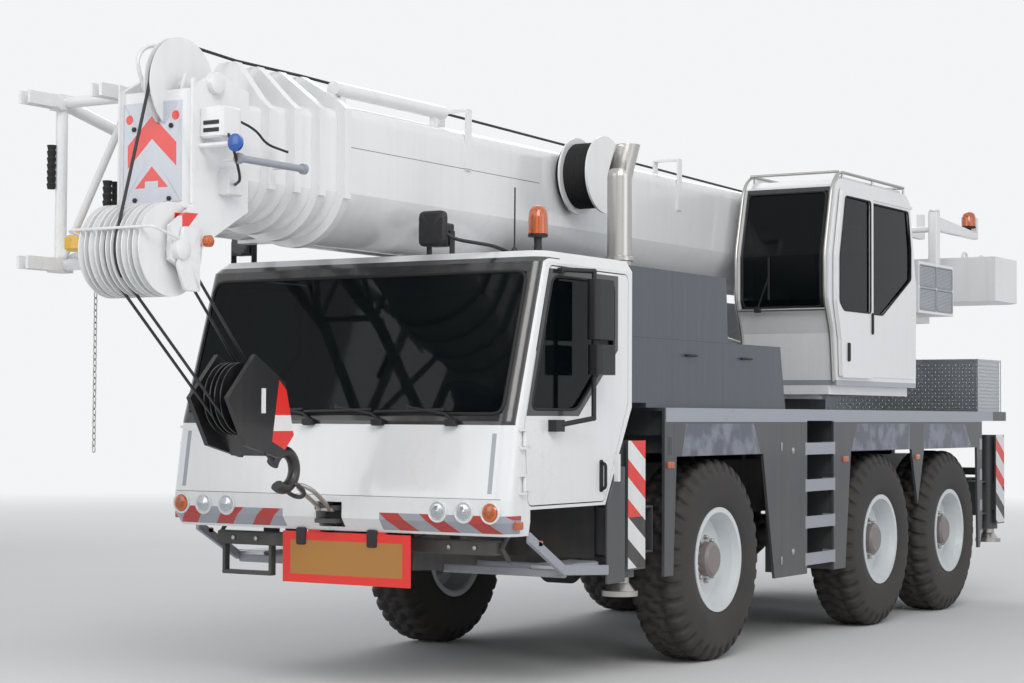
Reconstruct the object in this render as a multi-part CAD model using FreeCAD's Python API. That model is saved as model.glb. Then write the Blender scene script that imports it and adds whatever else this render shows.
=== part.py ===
import FreeCAD, Part
import math
import os

from FreeCAD import Vector

# Three-axle mobile crane as it stands ready to travel: telescopic boom lowered over the driver's
# cab, lattice jib stowed on the boom's right side, hook block tied to the front coupling.
# Millimetres. x forward, y to the vehicle's left, z up from the ground. Stations along x are
# measured from the front axle here, and every solid is moved by ROW_SHIFT when it is written,
# so that the origin is on the ground at the middle of the overall length.

# Running gear
AXLE_2 = -2940.0
AXLE_3 = -4530.0
AXLES = {1: 0.0, 2: AXLE_2, 3: AXLE_3}
TYRE_R = 685.0
TYRE_W = 375.0
TYRE_OUT_Y = 1250.0
TREAD_W = 290.0
SHOULDER_R = 610.0
RIM_SEAT_R = 318.0
RIM_FLANGE_R = 354.0
RIM_BARREL_T = 12.0
RIM_LIP_T = 14.0
DISC_DEPTH = 150.0
DISC_T = 22.0
HUB_R = 118.0
HUB_BORE_R = 62.0
SPINDLE_GAP = 0.08
KINGPIN_Y = 870.0
KINGPIN_R = 26.0
KNUCKLE_R = 62.0
KNUCKLE_H = 230.0
EAR_T = 38.0
BEAM_R = 92.0
DIFF_R = 215.0
STRUT_Y = 520.0
STRUT_R = 55.0

# Chassis
FRAME_Y = 410.0
FRAME_Z = (900.0, 1320.0)
FRAME_FRONT = 1050.0
FRAME_REAR = -5960.0
NOSE_FRONT = 2420.0
BODY_Y = 1250.0
ENGINE_X = (-700.0, 640.0)
ENGINE_Y = 330.0
ENGINE_TOP_Z = 1850.0
SHEET = 20.0
DECK_Z = 1710.0
DECK_FRONT = 820.0
DECK_REAR = -6020.0
STRIP_H = 83.0
ARCH_Z = 1392.0
GUARD_Y = 740.0
SKIRT_BOTTOM_Z = 500.0
LADDER_W = 500.0
STEP_PITCH = 272.0
STEP_H = 88.0

# Outriggers: two beams side by side at each end, one for each side of the vehicle
BEAM_W = 200.0
BEAM_H = 300.0
BEAM_Z = 930.0
BEAM_WALL = 14.0
TUNNEL_GAP = 8.0
BOX_WALL = 16.0
JACK_Y = 1130.0
BEAM_INNER_Y = 1180.0
BOX_Y = 1010.0
JACK_R = 88.0
JACK_TOP_Z = 1500.0
JACK_BOTTOM_Z = 640.0
JACK_ROD_R = 58.0
FOOT_R = 115.0
FOOT_Z = 520.0
FOOT_T = 34.0
FRONT_LEFT_X = 1200.0
FRONT_RIGHT_X = 950.0
REAR_LEFT_X = -5850.0
REAR_RIGHT_X = -5590.0

# Driver's cab
CAB_REAR = 1270.0
CAB_ROOF_Z = 2630.0
CAB_WALL = 42.0
CAB_FLOOR_Z = 1110.0
CAB_CORNER_R = 100.0
BUMPER_Z = 960.0
DOOR_GAP = 7.0
GLASS_T = 6.0
GLASS_GAP = 0.3
HINGE_X = 2585.0
HINGE_Y = 1264.0
HINGE_Z = (1260.0, 1520.0)
HINGE_R = 7.0

# Engine housing behind the cab
HOOD_FRONT = 985.0
HOOD_STEP = -190.0
HOOD_REAR = -1180.0
HOOD_Y = 1200.0
HOOD_INNER_Y = 450.0
HOOD_TOP_Z = 2610.0
HOOD_LOW_Z = 2160.0
HOOD_CHANNEL_Z = 1930.0
COLUMN_FRONT = 1250.0
COLUMN_Y = 880.0
EXHAUST_X = 1155.0
EXHAUST_Y = 1095.0
EXHAUST_R = 78.0
EXHAUST_TOP_Z = 3440.0

# Superstructure
SLEW_X = -2950.0
RING_R = 700.0
RING_GAP_Z = 1800.0
UPPER_Z = 1890.0
UPPER_R = 1640.0
PLATE_Y = (362.0, 402.0)
PIVOT_X = -5600.0
PIVOT_Z = 3000.0
PIVOT_R = 60.0
PIN_GAP = 0.09
SLIDE_GAP = 0.3
WEIGHT_X = (-6510.0, -5730.0)
WEIGHT_Z = (2730.0, 3135.0)
CRANE_CAB_X = (-3810.0, -2040.0)
CRANE_CAB_Y = (430.0, 1215.0)
CRANE_CAB_Z = (1900.0, 3500.0)
CRANE_CAB_WALL = 34.0
SLIDE_DOOR_T = 30.0
SLIDE_DOOR_GAP = 8.0
RUNNER_Z = (3400.0, 1985.0)
LUFF_BASE_X = -3600.0
LUFF_BASE_Z = 2085.0
LUFF_EYE_X = 300.0
LUFF_EYE_Z = 2520.0
LUFF_BARREL_R = 120.0
LUFF_ROD_R = 80.0
LUFF_PIN_R = 42.0

# Boom: base section and four telescopic sections
BOOM_Z = 3060.0
BOOM_HALF_W = 345.0
BOOM_UP = 400.0
BOOM_DOWN = 400.0
BOOM_WALL = 12.0
BOOM_STEP = 24.0
BOOM_REAR = -5050.0
COLLARS = (3080.0, 3290.0, 3490.0, 3690.0)
COLLAR_T = 60.0
SECTION_COUNT = 4
SECTION_REARS = (-4950.0, -4850.0, -4750.0, -4650.0)
HEAD_X = 4300.0
SHEAVE_X = 4450.0
SHEAVE_Z = 2520.0
SHEAVE_R = 250.0
SHEAVE_COUNT = 6
GROOVE_DEPTH = 34.0
GROOVE_HALF = 10.0
TOP_SHEAVE_X = 4180.0
TOP_SHEAVE_Z = 3430.0
TOP_SHEAVE_R = 265.0

# Stowed jib
JIB_X = 4050.0
JIB_Y = (-960.0, -425.0)
JIB_Z = (2500.0, 3430.0)
TRUSS_Y = (-950.0, -500.0)
TRUSS_Z = (2800.0, 3240.0)
TRUSS_X = (-4200.0, 3250.0)
CHORD_R = 38.0
BRACE_R = 22.0
DIAGONAL_R = 18.0
JIB_BAYS = 9

# Hook block, its length line tilted back to the front coupling
BLOCK_TILT = 44.0
BLOCK_AT = 1180.0
ROPE_R = 8.5
BLOCK_SHEAVE_R = 205.0
HEAD_HALF_W = 265.0
SHEAVE_PITCH = 2 * (HEAD_HALF_W - 40) / SHEAVE_COUNT
BLOCK_SHEAVES_Y = (-0.5 * SHEAVE_PITCH, 0.5 * SHEAVE_PITCH)
COUPLING_X = 2760.0
COUPLING_Z = 1060.0

ROW_SHIFT = -(SHEAVE_X + SHEAVE_R + WEIGHT_X[0]) / 2
X, Y, Z = Vector(1, 0, 0), Vector(0, 1, 0), Vector(0, 0, 1)


def block(x, y, z):
    """A box from three (low, high) pairs."""
    return Part.makeBox(x[1] - x[0], y[1] - y[0], z[1] - z[0], Vector(x[0], y[0], z[0]))


def face_of(points, place):
    """A flat face from 2D points put in space by place(u, v)."""
    ring = [place(u, v) for u, v in points]
    return Part.Face(Part.makePolygon(ring + ring[:1]))


def side_prism(points, y):
    """Outline in x and z, run across the vehicle between the two y values."""
    return face_of(points, lambda u, v: Vector(u, y[0], v)).extrude(Vector(0, y[1] - y[0], 0))


def cross_prism(points, x):
    """Outline in y and z, run along the vehicle between the two x values."""
    return face_of(points, lambda u, v: Vector(x[0], u, v)).extrude(Vector(x[1] - x[0], 0, 0))


def plan_prism(points, z):
    """Outline in x and y, run upwards between the two z values."""
    return face_of(points, lambda u, v: Vector(u, v, z[0])).extrude(Vector(0, 0, z[1] - z[0]))


def rounded_prism(points, radius, y):
    """A side outline in x and z whose corners are all rounded, run between the two y values."""
    edges = []
    stops = []
    count = len(points)
    for i in range(count):
        before = Vector(points[i - 1][0], y[0], points[i - 1][1])
        here = Vector(points[i][0], y[0], points[i][1])
        after = Vector(points[(i + 1) % count][0], y[0], points[(i + 1) % count][1])
        to_before = (before - here).normalize()
        to_after = (after - here).normalize()
        half = to_before.getAngle(to_after) / 2
        back = radius / math.tan(half)
        middle = (to_before + to_after).normalize() * (radius / math.sin(half) - radius)
        stops.append((here + to_before * back, here + middle, here + to_after * back))
    for i in range(count):
        edges.append(Part.Arc(*stops[i]).toShape())
        edges.append(Part.LineSegment(stops[i][2], stops[(i + 1) % count][0]).toShape())
    return Part.Face(Part.Wire(edges)).extrude(Vector(0, y[1] - y[0], 0))


def rod(start, end, radius):
    """A round bar between two points."""
    line = end - start
    return Part.makeCylinder(radius, line.Length, start, line)


def tube(start, end, outer, inner):
    """A round tube between two points."""
    return rod(start, end, outer).cut(rod(start, end, inner))


def join(*shapes):
    """One solid from pieces that meet."""
    return shapes[0].multiFuse(list(shapes[1:])).removeSplitter() if len(shapes) > 1 else shapes[0]


def carve(shape, *tools):
    """The shape with each tool taken out of it."""
    for tool in tools:
        shape = shape.cut(tool)
    return shape


def mirrored(shape):
    """The same shape on the vehicle's other side."""
    return shape.mirror(Vector(0, 0, 0), Y)


def turned(points, centre, side):
    """A solid of revolution about the wheel axis, from (distance inboard of the outer face, radius)."""
    ring = [centre + Vector(0, -side * u, r) for u, r in points]
    return Part.Face(Part.makePolygon(ring + ring[:1])).revolve(centre, Y, 360)


# Running gear


def wheel_centre(axle, side):
    return Vector(AXLES[axle], side * TYRE_OUT_Y, TYRE_R)


def tyre(axle, side):
    """Tyre, out to the tips of its tread."""
    shoulder = (TYRE_W - TREAD_W) / 2
    bead = 30.0
    seat = RIM_SEAT_R + GLASS_GAP
    points = [(bead, seat), (0, 470), (0, SHOULDER_R), (shoulder, TYRE_R), (shoulder + TREAD_W, TYRE_R)]
    points += [(TYRE_W, SHOULDER_R), (TYRE_W, 470), (TYRE_W - bead, seat)]
    return turned(points, wheel_centre(axle, side), side)


def rim(axle, side):
    """Rim with its dished disc and the planetary hub's end cover."""
    inner = RIM_SEAT_R - RIM_BARREL_T
    lip = 24.0
    far = TYRE_W - lip
    points = [(lip, RIM_SEAT_R), (lip - 4, RIM_FLANGE_R), (lip - RIM_LIP_T, RIM_FLANGE_R), (lip - RIM_LIP_T, inner + 14)]
    points += [(lip + 36, inner), (DISC_DEPTH, inner - 14), (DISC_DEPTH + 26, 196), (DISC_DEPTH - 30, 178)]
    points += [(DISC_DEPTH - 30, HUB_R), (60, HUB_R), (44, HUB_R - 22), (44, 0)]
    points += [(DISC_DEPTH - 30 + DISC_T, 0), (DISC_DEPTH - 30 + DISC_T, HUB_BORE_R), (DISC_DEPTH + 90, HUB_BORE_R)]
    points += [(DISC_DEPTH + 90, HUB_R + 6), (DISC_DEPTH + DISC_T - 20, HUB_R + 6), (DISC_DEPTH + DISC_T - 20, 186)]
    points += [(DISC_DEPTH + DISC_T + 26, 206), (DISC_DEPTH + DISC_T + 6, inner), (far, inner)]
    points += [(far + RIM_LIP_T, inner + 14), (far + RIM_LIP_T, RIM_FLANGE_R), (far + 4, RIM_FLANGE_R), (far, RIM_SEAT_R)]
    return turned(points, wheel_centre(axle, side), side)


def knuckle(axle, side):
    """Steering knuckle: block between the axle's ears, kingpin through both, and the wheel spindle."""
    x = AXLES[axle]
    middle = Vector(x, side * KINGPIN_Y, TYRE_R)
    half = KNUCKLE_H / 2
    body = rod(middle - Z * half, middle + Z * half, KNUCKLE_R)
    pin = rod(middle - Z * (half + EAR_T), middle + Z * (half + EAR_T), KINGPIN_R)
    face = side * (TYRE_OUT_Y - DISC_DEPTH - 90)
    flange = rod(Vector(x, side * (KINGPIN_Y + 40), TYRE_R), Vector(x, face - side * 6, TYRE_R), 100)
    tip = side * (TYRE_OUT_Y - DISC_DEPTH + 30 - DISC_T - 2)
    spindle = rod(Vector(x, face - side * 30, TYRE_R), Vector(x, tip, TYRE_R), HUB_BORE_R - SPINDLE_GAP)
    arm = block((x - 250, x - 30), (-28, 28), (TYRE_R - 105, TYRE_R - 65)).translate(Vector(0, side * (KINGPIN_Y + 10), 0))
    return join(body, pin, flange, spindle, arm)


def axle_beam(axle):
    """Axle: tube, differential, steering ears at the ends and the suspension cylinders."""
    x = AXLES[axle]
    half = KNUCKLE_H / 2 + 1
    pieces = [rod(Vector(x, -KINGPIN_Y + 95, TYRE_R), Vector(x, KINGPIN_Y - 95, TYRE_R), BEAM_R)]
    centre = Vector(x, 0, TYRE_R)
    profile = [(-200, 0), (-200, 120), (-90, DIFF_R), (90, DIFF_R), (200, 120), (200, 0)]
    ring = [centre + Vector(0, u, r) for u, r in profile]
    pieces.append(Part.Face(Part.makePolygon(ring + ring[:1])).revolve(centre, Y, 360))
    pieces.append(rod(centre, centre + X * 330, 95))
    for side in (-1, 1):
        root = block((x - 70, x + 70), (-40, 40), (TYRE_R - half - EAR_T, TYRE_R + half + EAR_T))
        pieces.append(root.translate(Vector(0, side * (KINGPIN_Y - 120), 0)))
        for up in (-1, 1):
            low = TYRE_R + up * half + (0 if up > 0 else -EAR_T)
            ear = block((x - 62, x + 62), (-100, 0), (low, low + EAR_T))
            ear = ear.translate(Vector(0, side * KINGPIN_Y + (100 if side < 0 else 0), 0))
            pieces.append(ear)
            pieces.append(Part.makeCylinder(62, EAR_T, Vector(x, side * KINGPIN_Y, low)))
        for along in (-175, 175):
            foot = Vector(x + along, side * STRUT_Y, TYRE_R - 60)
            pieces.append(rod(foot, Vector(x + along, side * STRUT_Y, FRAME_Z[0] + 120), STRUT_R))
            reach = (x, x + along) if along > 0 else (x + along, x)
            pieces.append(block(reach, (side * STRUT_Y - 45, side * STRUT_Y + 45), (TYRE_R - 60, TYRE_R + 30)))
    beam = join(*pieces)
    bores = [
        Part.makeCylinder(KINGPIN_R + SPINDLE_GAP, 2 * half + 2 * EAR_T + 20, Vector(x, s * KINGPIN_Y, TYRE_R - half - EAR_T - 10))
        for s in (-1, 1)
    ]
    return carve(beam, *bores)


# Chassis


def outrigger_box(x_low, x_high):
    """Cross box that holds two beams side by side."""
    half_h = BEAM_H / 2 + TUNNEL_GAP + BOX_WALL
    return block((x_low, x_high), (-BOX_Y, BOX_Y), (BEAM_Z - half_h, BEAM_Z + half_h))


def tunnel(x):
    """The space that one beam slides in, through the whole box, less the pads it slides on."""
    half_w = BEAM_W / 2 + TUNNEL_GAP
    half_h = BEAM_H / 2 + TUNNEL_GAP
    space = block((x - half_w, x + half_w), (-BOX_Y - 5, BOX_Y + 5), (BEAM_Z - half_h, BEAM_Z + half_h))
    pads = [
        block((x - 70, x + 70), sorted((side * (BOX_Y - 160), side * (BOX_Y - 40))), (BEAM_Z - half_h, BEAM_Z - BEAM_H / 2 - SLIDE_GAP))
        for side in (-1, 1)
    ]
    return carve(space, *pads)


def chassis_frame():
    """Box frame with its nose under the cab, outrigger boxes, pedestal, engine block and hitch."""
    spine = block((FRAME_REAR, FRAME_FRONT), (-FRAME_Y, FRAME_Y), FRAME_Z)
    nose = side_prism([(FRAME_FRONT, 640), (NOSE_FRONT, 720), (NOSE_FRONT, 900), (1700, 1040), (FRAME_FRONT, 1040)], (-380, 380))
    wall = BEAM_W / 2 + TUNNEL_GAP + BOX_WALL
    front_box = outrigger_box(FRONT_RIGHT_X - wall, FRONT_LEFT_X + wall)
    rear_box = outrigger_box(REAR_LEFT_X - wall, REAR_RIGHT_X + wall)
    pedestal = Part.makeCylinder(RING_R, RING_GAP_Z - SLIDE_GAP - FRAME_Z[1], Vector(SLEW_X, 0, FRAME_Z[1]))
    engine = block(ENGINE_X, (-ENGINE_Y, ENGINE_Y), (FRAME_Z[1], ENGINE_TOP_Z))
    pieces = [spine, nose, front_box, rear_box, pedestal, engine]
    top = DECK_Z - SHEET
    for x in (700, -1250, -2150, -3750, -5350):
        pieces.append(block((x - 40, x + 40), (-BODY_Y + SHEET, BODY_Y - SHEET), (top - 160, top)))
        pieces.append(block((x - 40, x + 40), (-FRAME_Y, FRAME_Y), (FRAME_Z[1], top)))
    for axle in AXLES.values():
        for side in (-1, 1):
            y = (STRUT_Y - 75, STRUT_Y + 75) if side > 0 else (-STRUT_Y - 75, -STRUT_Y + 75)
            inner = (FRAME_Y, STRUT_Y) if side > 0 else (-STRUT_Y, -FRAME_Y)
            pieces.append(block((axle - 245, axle + 245), y, (FRAME_Z[0] + 120, FRAME_Z[0] + 200)))
            pieces.append(block((axle - 245, axle + 245), inner, (FRAME_Z[0] + 120, FRAME_Z[0] + 200)))
    for x in (1650, 2350):
        for side in (-1, 1):
            pieces.append(block((x - 50, x + 50), (side * 330 - 40, side * 330 + 40), (800, CAB_FLOOR_Z)))
    hitch = block((DECK_REAR - 60, FRAME_REAR), (-110, 110), (940, 1120))
    pieces.append(hitch)
    jaw = join(block((COUPLING_X - 360, COUPLING_X + 40), (-75, 75), (COUPLING_Z - 52, COUPLING_Z + 52)))
    pieces.append(jaw)
    pieces.append(block((NOSE_FRONT - 120, NOSE_FRONT), (-75, 75), (720, COUPLING_Z - 52)))
    frame = join(*pieces)
    tunnels = [tunnel(x) for x in (FRONT_LEFT_X, FRONT_RIGHT_X, REAR_LEFT_X, REAR_RIGHT_X)]
    slot = block((COUPLING_X - 90, COUPLING_X + 60), (-80, 80), (COUPLING_Z - 26, COUPLING_Z + 26))
    bore = Part.makeCylinder(18, 200, Vector(COUPLING_X - 20, 0, COUPLING_Z - 100))
    rear_slot = block((DECK_REAR - 80, DECK_REAR + 30), (-120, 120), (1000, 1060))
    rear_bore = Part.makeCylinder(25, 260, Vector(DECK_REAR - 15, 0, 900))
    return carve(frame, *tunnels, slot, bore, rear_slot, rear_bore)


def arch(x, front, rear, foot_front, foot_rear):
    """Wheel opening in a skirt: wide at the foot and narrower under the deck."""
    y = (BODY_Y - 2 * SHEET, BODY_Y + SHEET)
    return side_prism([(x + front, ARCH_Z), (x + foot_front, 300), (x - foot_rear, 300), (x - rear, ARCH_Z)], y)


def side_decks():
    """Walkway plate, its edge strips, the skirts with their wheel openings, mudguards and ladders."""
    plate = block((DECK_REAR, DECK_FRONT), (-BODY_Y, BODY_Y), (DECK_Z - SHEET, DECK_Z))
    plate = plate.cut(Part.makeCylinder(RING_R + 30, 100, Vector(SLEW_X, 0, DECK_Z - 50)))
    plate = plate.cut(block((ENGINE_X[0] - 20, ENGINE_X[1] + 20), (-ENGINE_Y - 20, ENGINE_Y + 20), (DECK_Z - 50, DECK_Z + 50)))
    pieces = [plate]
    low = DECK_Z - STRIP_H
    for side in (-1, 1):
        skirt = side_prism(
            [
                (DECK_FRONT, low),
                (DECK_FRONT, 620),
                (560, 620),
                (560, SKIRT_BOTTOM_Z),
                (-5290, SKIRT_BOTTOM_Z),
                (-5350, 700),
                (-5350, low),
            ],
            (BODY_Y - SHEET, BODY_Y),
        )
        skirt = carve(
            skirt,
            arch(0, 650, 690, 715, 930),
            arch(AXLE_2, 640, 660, 780, 1000),
            arch(AXLE_3, 640, 680, 1000, 715),
        )
        gap = block((-1960, -1460), (BODY_Y - 2 * SHEET, BODY_Y + SHEET), (300, low))
        skirt = carve(skirt, gap)
        strip = block((DECK_REAR, DECK_FRONT), (BODY_Y - SHEET, BODY_Y), (low, DECK_Z))
        well = [block((-1980, -1440), (930, 930 + SHEET), (SKIRT_BOTTOM_Z, DECK_Z - SHEET))]
        for x in (-1980 - SHEET, -1440):
            well.append(block((x, x + SHEET), (930, BODY_Y), (SKIRT_BOTTOM_Z, DECK_Z - SHEET)))
        for i in range(4):
            z = 560 + i * STEP_PITCH
            well.append(block((-1980, -1440), (1040, BODY_Y), (z, z + 25)))
            well.append(block((-1980, -1440), (BODY_Y - SHEET, BODY_Y), (z, z + STEP_H)))
        guards = []
        for x, front, rear in ((0, 640, 720), (AXLE_2, 620, 760), (AXLE_3, 730, 640)):
            guards.append(block((x - rear, x + front), (GUARD_Y, BODY_Y - SHEET), (ARCH_Z + 20, ARCH_Z + 28)))
            guards.append(block((x + front - 8, x + front), (GUARD_Y, BODY_Y - SHEET), (ARCH_Z + 20, DECK_Z - SHEET)))
            guards.append(block((x - rear, x - rear + 8), (GUARD_Y, BODY_Y - SHEET), (ARCH_Z + 20, DECK_Z - SHEET)))
        group = [skirt, strip] + well + guards
        pieces += group if side > 0 else [mirrored(p) for p in group]
    return join(*pieces)


def outrigger_beam(x, side):
    """Sliding beam with the jack's upright cylinder and its striped end plate."""
    inner = -side * BEAM_INNER_Y
    y = sorted((side * JACK_Y, inner))
    half_w, half_h = BEAM_W / 2, BEAM_H / 2
    beam = block((x - half_w, x + half_w), y, (BEAM_Z - half_h, BEAM_Z + half_h))
    w, h = half_w - BEAM_WALL, half_h - BEAM_WALL
    space = sorted((side * (JACK_Y - JACK_R - 30), inner - side * 50))
    beam = beam.cut(block((x - w, x + w), space, (BEAM_Z - h, BEAM_Z + h)))
    column = rod(Vector(x, side * JACK_Y, JACK_BOTTOM_Z), Vector(x, side * JACK_Y, JACK_TOP_Z), JACK_R)
    axis = (Vector(x, side * JACK_Y, JACK_BOTTOM_Z - 10), Vector(x, side * JACK_Y, JACK_TOP_Z - 30))
    gland_z = Vector(x, side * JACK_Y, JACK_BOTTOM_Z + 60)
    bore = join(rod(axis[0], axis[1], JACK_ROD_R + SLIDE_GAP), rod(gland_z, axis[1], JACK_ROD_R + 6))
    cheeks = [
        block((x - 70, x + 70), sorted((side * JACK_Y, side * (BODY_Y - 16))), (BEAM_Z - 120, BEAM_Z + 120)),
        block((x - 115, x + 115), sorted((side * (BODY_Y - 16), side * BODY_Y)), (690, 1500)),
        block((x - 20, x + 20), sorted((side * JACK_Y, side * (BODY_Y - 16))), (700, 1480)),
    ]
    return carve(join(beam, column, *cheeks), bore)


def outrigger_jack(x, side):
    """Jack rod with its round foot."""
    bottom = Vector(x, side * JACK_Y, FOOT_Z)
    top = Vector(x, side * JACK_Y, JACK_TOP_Z - 60)
    foot = rod(bottom, bottom + Z * FOOT_T, FOOT_R)
    cone = Part.makeCone(FOOT_R - 20, JACK_ROD_R, 50, bottom + Z * FOOT_T, Z)
    return join(foot, cone, rod(bottom + Z * FOOT_T, top, JACK_ROD_R))


# Driver's cab


def cab_section(z, front, rear, half_w, corner):
    """Plan outline of the cab at one height: square at the back, rounded at the front corners."""
    p = [Vector(rear, half_w, z), Vector(front - corner, half_w, z), Vector(front, half_w - corner, z)]
    q = [Vector(front, corner - half_w, z), Vector(front - corner, -half_w, z), Vector(rear, -half_w, z)]
    k = corner * (1 - math.sqrt(0.5))
    edges = [
        Part.LineSegment(p[0], p[1]).toShape(),
        Part.Arc(p[1], Vector(front - k, half_w - k, z), p[2]).toShape(),
        Part.LineSegment(p[2], q[0]).toShape(),
        Part.Arc(q[0], Vector(front - k, k - half_w, z), q[1]).toShape(),
        Part.LineSegment(q[1], q[2]).toShape(),
        Part.LineSegment(q[2], p[0]).toShape(),
    ]
    return Part.Wire(edges)


# height, front station, half width
CAB_LEVELS = (
    (BUMPER_Z, 2700.0, 1238.0),
    (1040.0, 2760.0, 1250.0),
    (1170.0, 2760.0, 1250.0),
    (1620.0, 2690.0, 1250.0),
    (2560.0, 2390.0, 1250.0),
    (CAB_ROOF_Z, 2310.0, 1205.0),
)


def cab_form(inset):
    """The cab's closed outer form, or the same form taken in by a wall thickness."""
    sections = []
    for z, front, half_w in CAB_LEVELS:
        level = z
        if z == CAB_ROOF_Z:
            level = z - inset
        if z == BUMPER_Z and inset:
            level = z + 10
        sections.append(cab_section(level, front - inset, CAB_REAR + inset, half_w - inset, CAB_CORNER_R - inset / 2))
    form = Part.makeLoft(sections, True, True)
    drop = inset * 1.15
    under = side_prism(
        [(CAB_REAR - 50, 1710 + drop), (CAB_REAR, 1710 + drop), (1610 + inset, CAB_FLOOR_Z + inset), (2500, CAB_FLOOR_Z + inset), (2500, 900), (CAB_REAR - 50, 900)],
        (-1400, 1400),
    )
    form = form.cut(under)
    if inset:
        form = form.cut(block((2400, 2900), (-1400, 1400), (900, CAB_FLOOR_Z + inset)))
    return form


DOOR_POINTS = ((1325, 2535), (2285, 2535), (2566, 1600), (2520, 1135), (1622, 1135), (1325, 1735))
WINDOW_POINTS = ((1500, 2480), (2250, 2480), (2490, 1690), (1960, 1690), (1500, 2080))
WINDSCREEN_Z = (1665.0, 2500.0)
WINDSCREEN_Y = 1165.0


def grown(points, amount):
    """A convex outline with every side moved outwards by the amount."""
    count = len(points)
    area = sum(points[i - 1][0] * points[i][1] - points[i][0] * points[i - 1][1] for i in range(count))
    turn = 1 if area > 0 else -1
    lines = []
    for i in range(count):
        (ax, az), (bx, bz) = points[i - 1], points[i]
        length = math.hypot(bx - ax, bz - az)
        nx, nz = turn * (bz - az) / length, -turn * (bx - ax) / length
        lines.append((nx, nz, nx * (ax + nx * amount) + nz * (az + nz * amount)))
    corners = []
    for i in range(count):
        a, b = lines[i], lines[(i + 1) % count]
        det = a[0] * b[1] - b[0] * a[1]
        corners.append(((a[2] * b[1] - b[2] * a[1]) / det, (a[0] * b[2] - b[0] * a[2]) / det))
    return corners


def cab_shell():
    """Driver's cab: hollow body with windscreen, rear window and door openings cut."""
    shell = cab_form(0).cut(cab_form(CAB_WALL))
    screen = block((2200, 2900), (-WINDSCREEN_Y, WINDSCREEN_Y), WINDSCREEN_Z)
    rear_window = block((CAB_REAR - 50, CAB_REAR + 100), (-900, 900), (1900, 2450))
    pocket = block((2380, 2900), (-95, 95), (COUPLING_Z - 75, COUPLING_Z + 75))
    openings = [screen, rear_window, pocket]
    for side in (-1, 1):
        y = (BODY_Y - 3 * CAB_WALL, BODY_Y + CAB_WALL)
        opening = rounded_prism(grown(DOOR_POINTS, DOOR_GAP), 40 + DOOR_GAP, y)
        openings.append(opening if side > 0 else mirrored(opening))
    hinges = []
    for side in (-1, 1):
        for z in HINGE_Z:
            pin = rod(Vector(HINGE_X, HINGE_Y, z - 60), Vector(HINGE_X, HINGE_Y, z + 60), HINGE_R)
            tabs = [block((HINGE_X - 12, HINGE_X + 40), (BODY_Y - 1, HINGE_Y + 12), (z + s * 52 - 8, z + s * 52 + 8)) for s in (-1, 1)]
            hinge = join(pin, *tabs)
            hinges.append(hinge if side > 0 else mirrored(hinge))
    return join(carve(shell, *openings), *hinges)


def cab_glass():
    """Windscreen and rear window panes."""
    skin = cab_form(0).cut(cab_form(GLASS_T))
    z = (WINDSCREEN_Z[0] + GLASS_GAP, WINDSCREEN_Z[1] - GLASS_GAP)
    reach = WINDSCREEN_Y - GLASS_GAP
    screen = skin.common(block((2200, 2900), (-reach, reach), z))
    x = (CAB_REAR + 15, CAB_REAR + 15 + GLASS_T)
    rear = block(x, (-900 + GLASS_GAP, 900 - GLASS_GAP), (1900 + GLASS_GAP, 2450 - GLASS_GAP))
    return Part.makeCompound(screen.Solids + [rear])


def cab_interior():
    """Dashboard with its steering wheel, two seats and the engine cover between them."""
    floor_z = CAB_FLOOR_Z + CAB_WALL
    dash = side_prism([(2560, floor_z), (2560, 1640), (2380, 1690), (2230, 1600), (2300, floor_z)], (-1150, 1150))
    column = rod(Vector(2250, 640, 1560), Vector(2130, 640, 1700), 32)
    wheel = Part.makeTorus(225, 17, Vector(2130, 640, 1700), Vector(-120, 0, 140))
    spoke = rod(Vector(2130, 640 - 225, 1700), Vector(2130, 640 + 225, 1700), 14)
    front = [join(dash, column, wheel, spoke)]
    for y in (640, -640):
        base = block((1700, 1980), (y - 150, y + 150), (floor_z, 1330))
        cushion = block((1560, 2060), (y - 250, y + 250), (1330, 1460))
        back = side_prism([(1620, 1460), (1500, 2130), (1390, 2130), (1490, 1460)], (y - 240, y + 240))
        head = block((1390, 1480), (y - 130, y + 130), (2130, 2330))
        front.append(join(base, cushion, back, head))
    tunnel_cover = block((1560, 2290), (-260, 260), (floor_z + 180, 1420))
    front.append(join(tunnel_cover, block((1660, 2200), (-180, 180), (floor_z, floor_z + 180))))
    return Part.makeCompound(front)


def cab_door(side):
    """Door leaf as thick as the cab's wall, with its window cut."""
    y = (BODY_Y - CAB_WALL, BODY_Y)
    leaf = rounded_prism(DOOR_POINTS, 40, y)
    window = rounded_prism(WINDOW_POINTS, 50, (BODY_Y - 2 * CAB_WALL, BODY_Y + CAB_WALL))
    handle = block((1470, 1500), (BODY_Y, BODY_Y + 30), (1250, 1420))
    lugs = []
    for z in HINGE_Z:
        lugs.append(block((2510, HINGE_X), (BODY_Y, HINGE_Y), (z - 40, z + 40)))
        lugs.append(rod(Vector(HINGE_X, HINGE_Y, z - 40), Vector(HINGE_X, HINGE_Y, z + 40), HINGE_R + 5))
    bore = rod(Vector(HINGE_X, HINGE_Y, 1100), Vector(HINGE_X, HINGE_Y, 1700), HINGE_R + SPINDLE_GAP)
    leaf = join(leaf.cut(window), handle, *lugs).cut(bore)
    return leaf if side > 0 else mirrored(leaf)


def door_glass(side):
    """Window pane of a door."""
    y = (BODY_Y - 24, BODY_Y - 24 + GLASS_T)
    pane = rounded_prism(grown(WINDOW_POINTS, -GLASS_GAP), 50, y)
    return pane if side > 0 else mirrored(pane)


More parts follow.
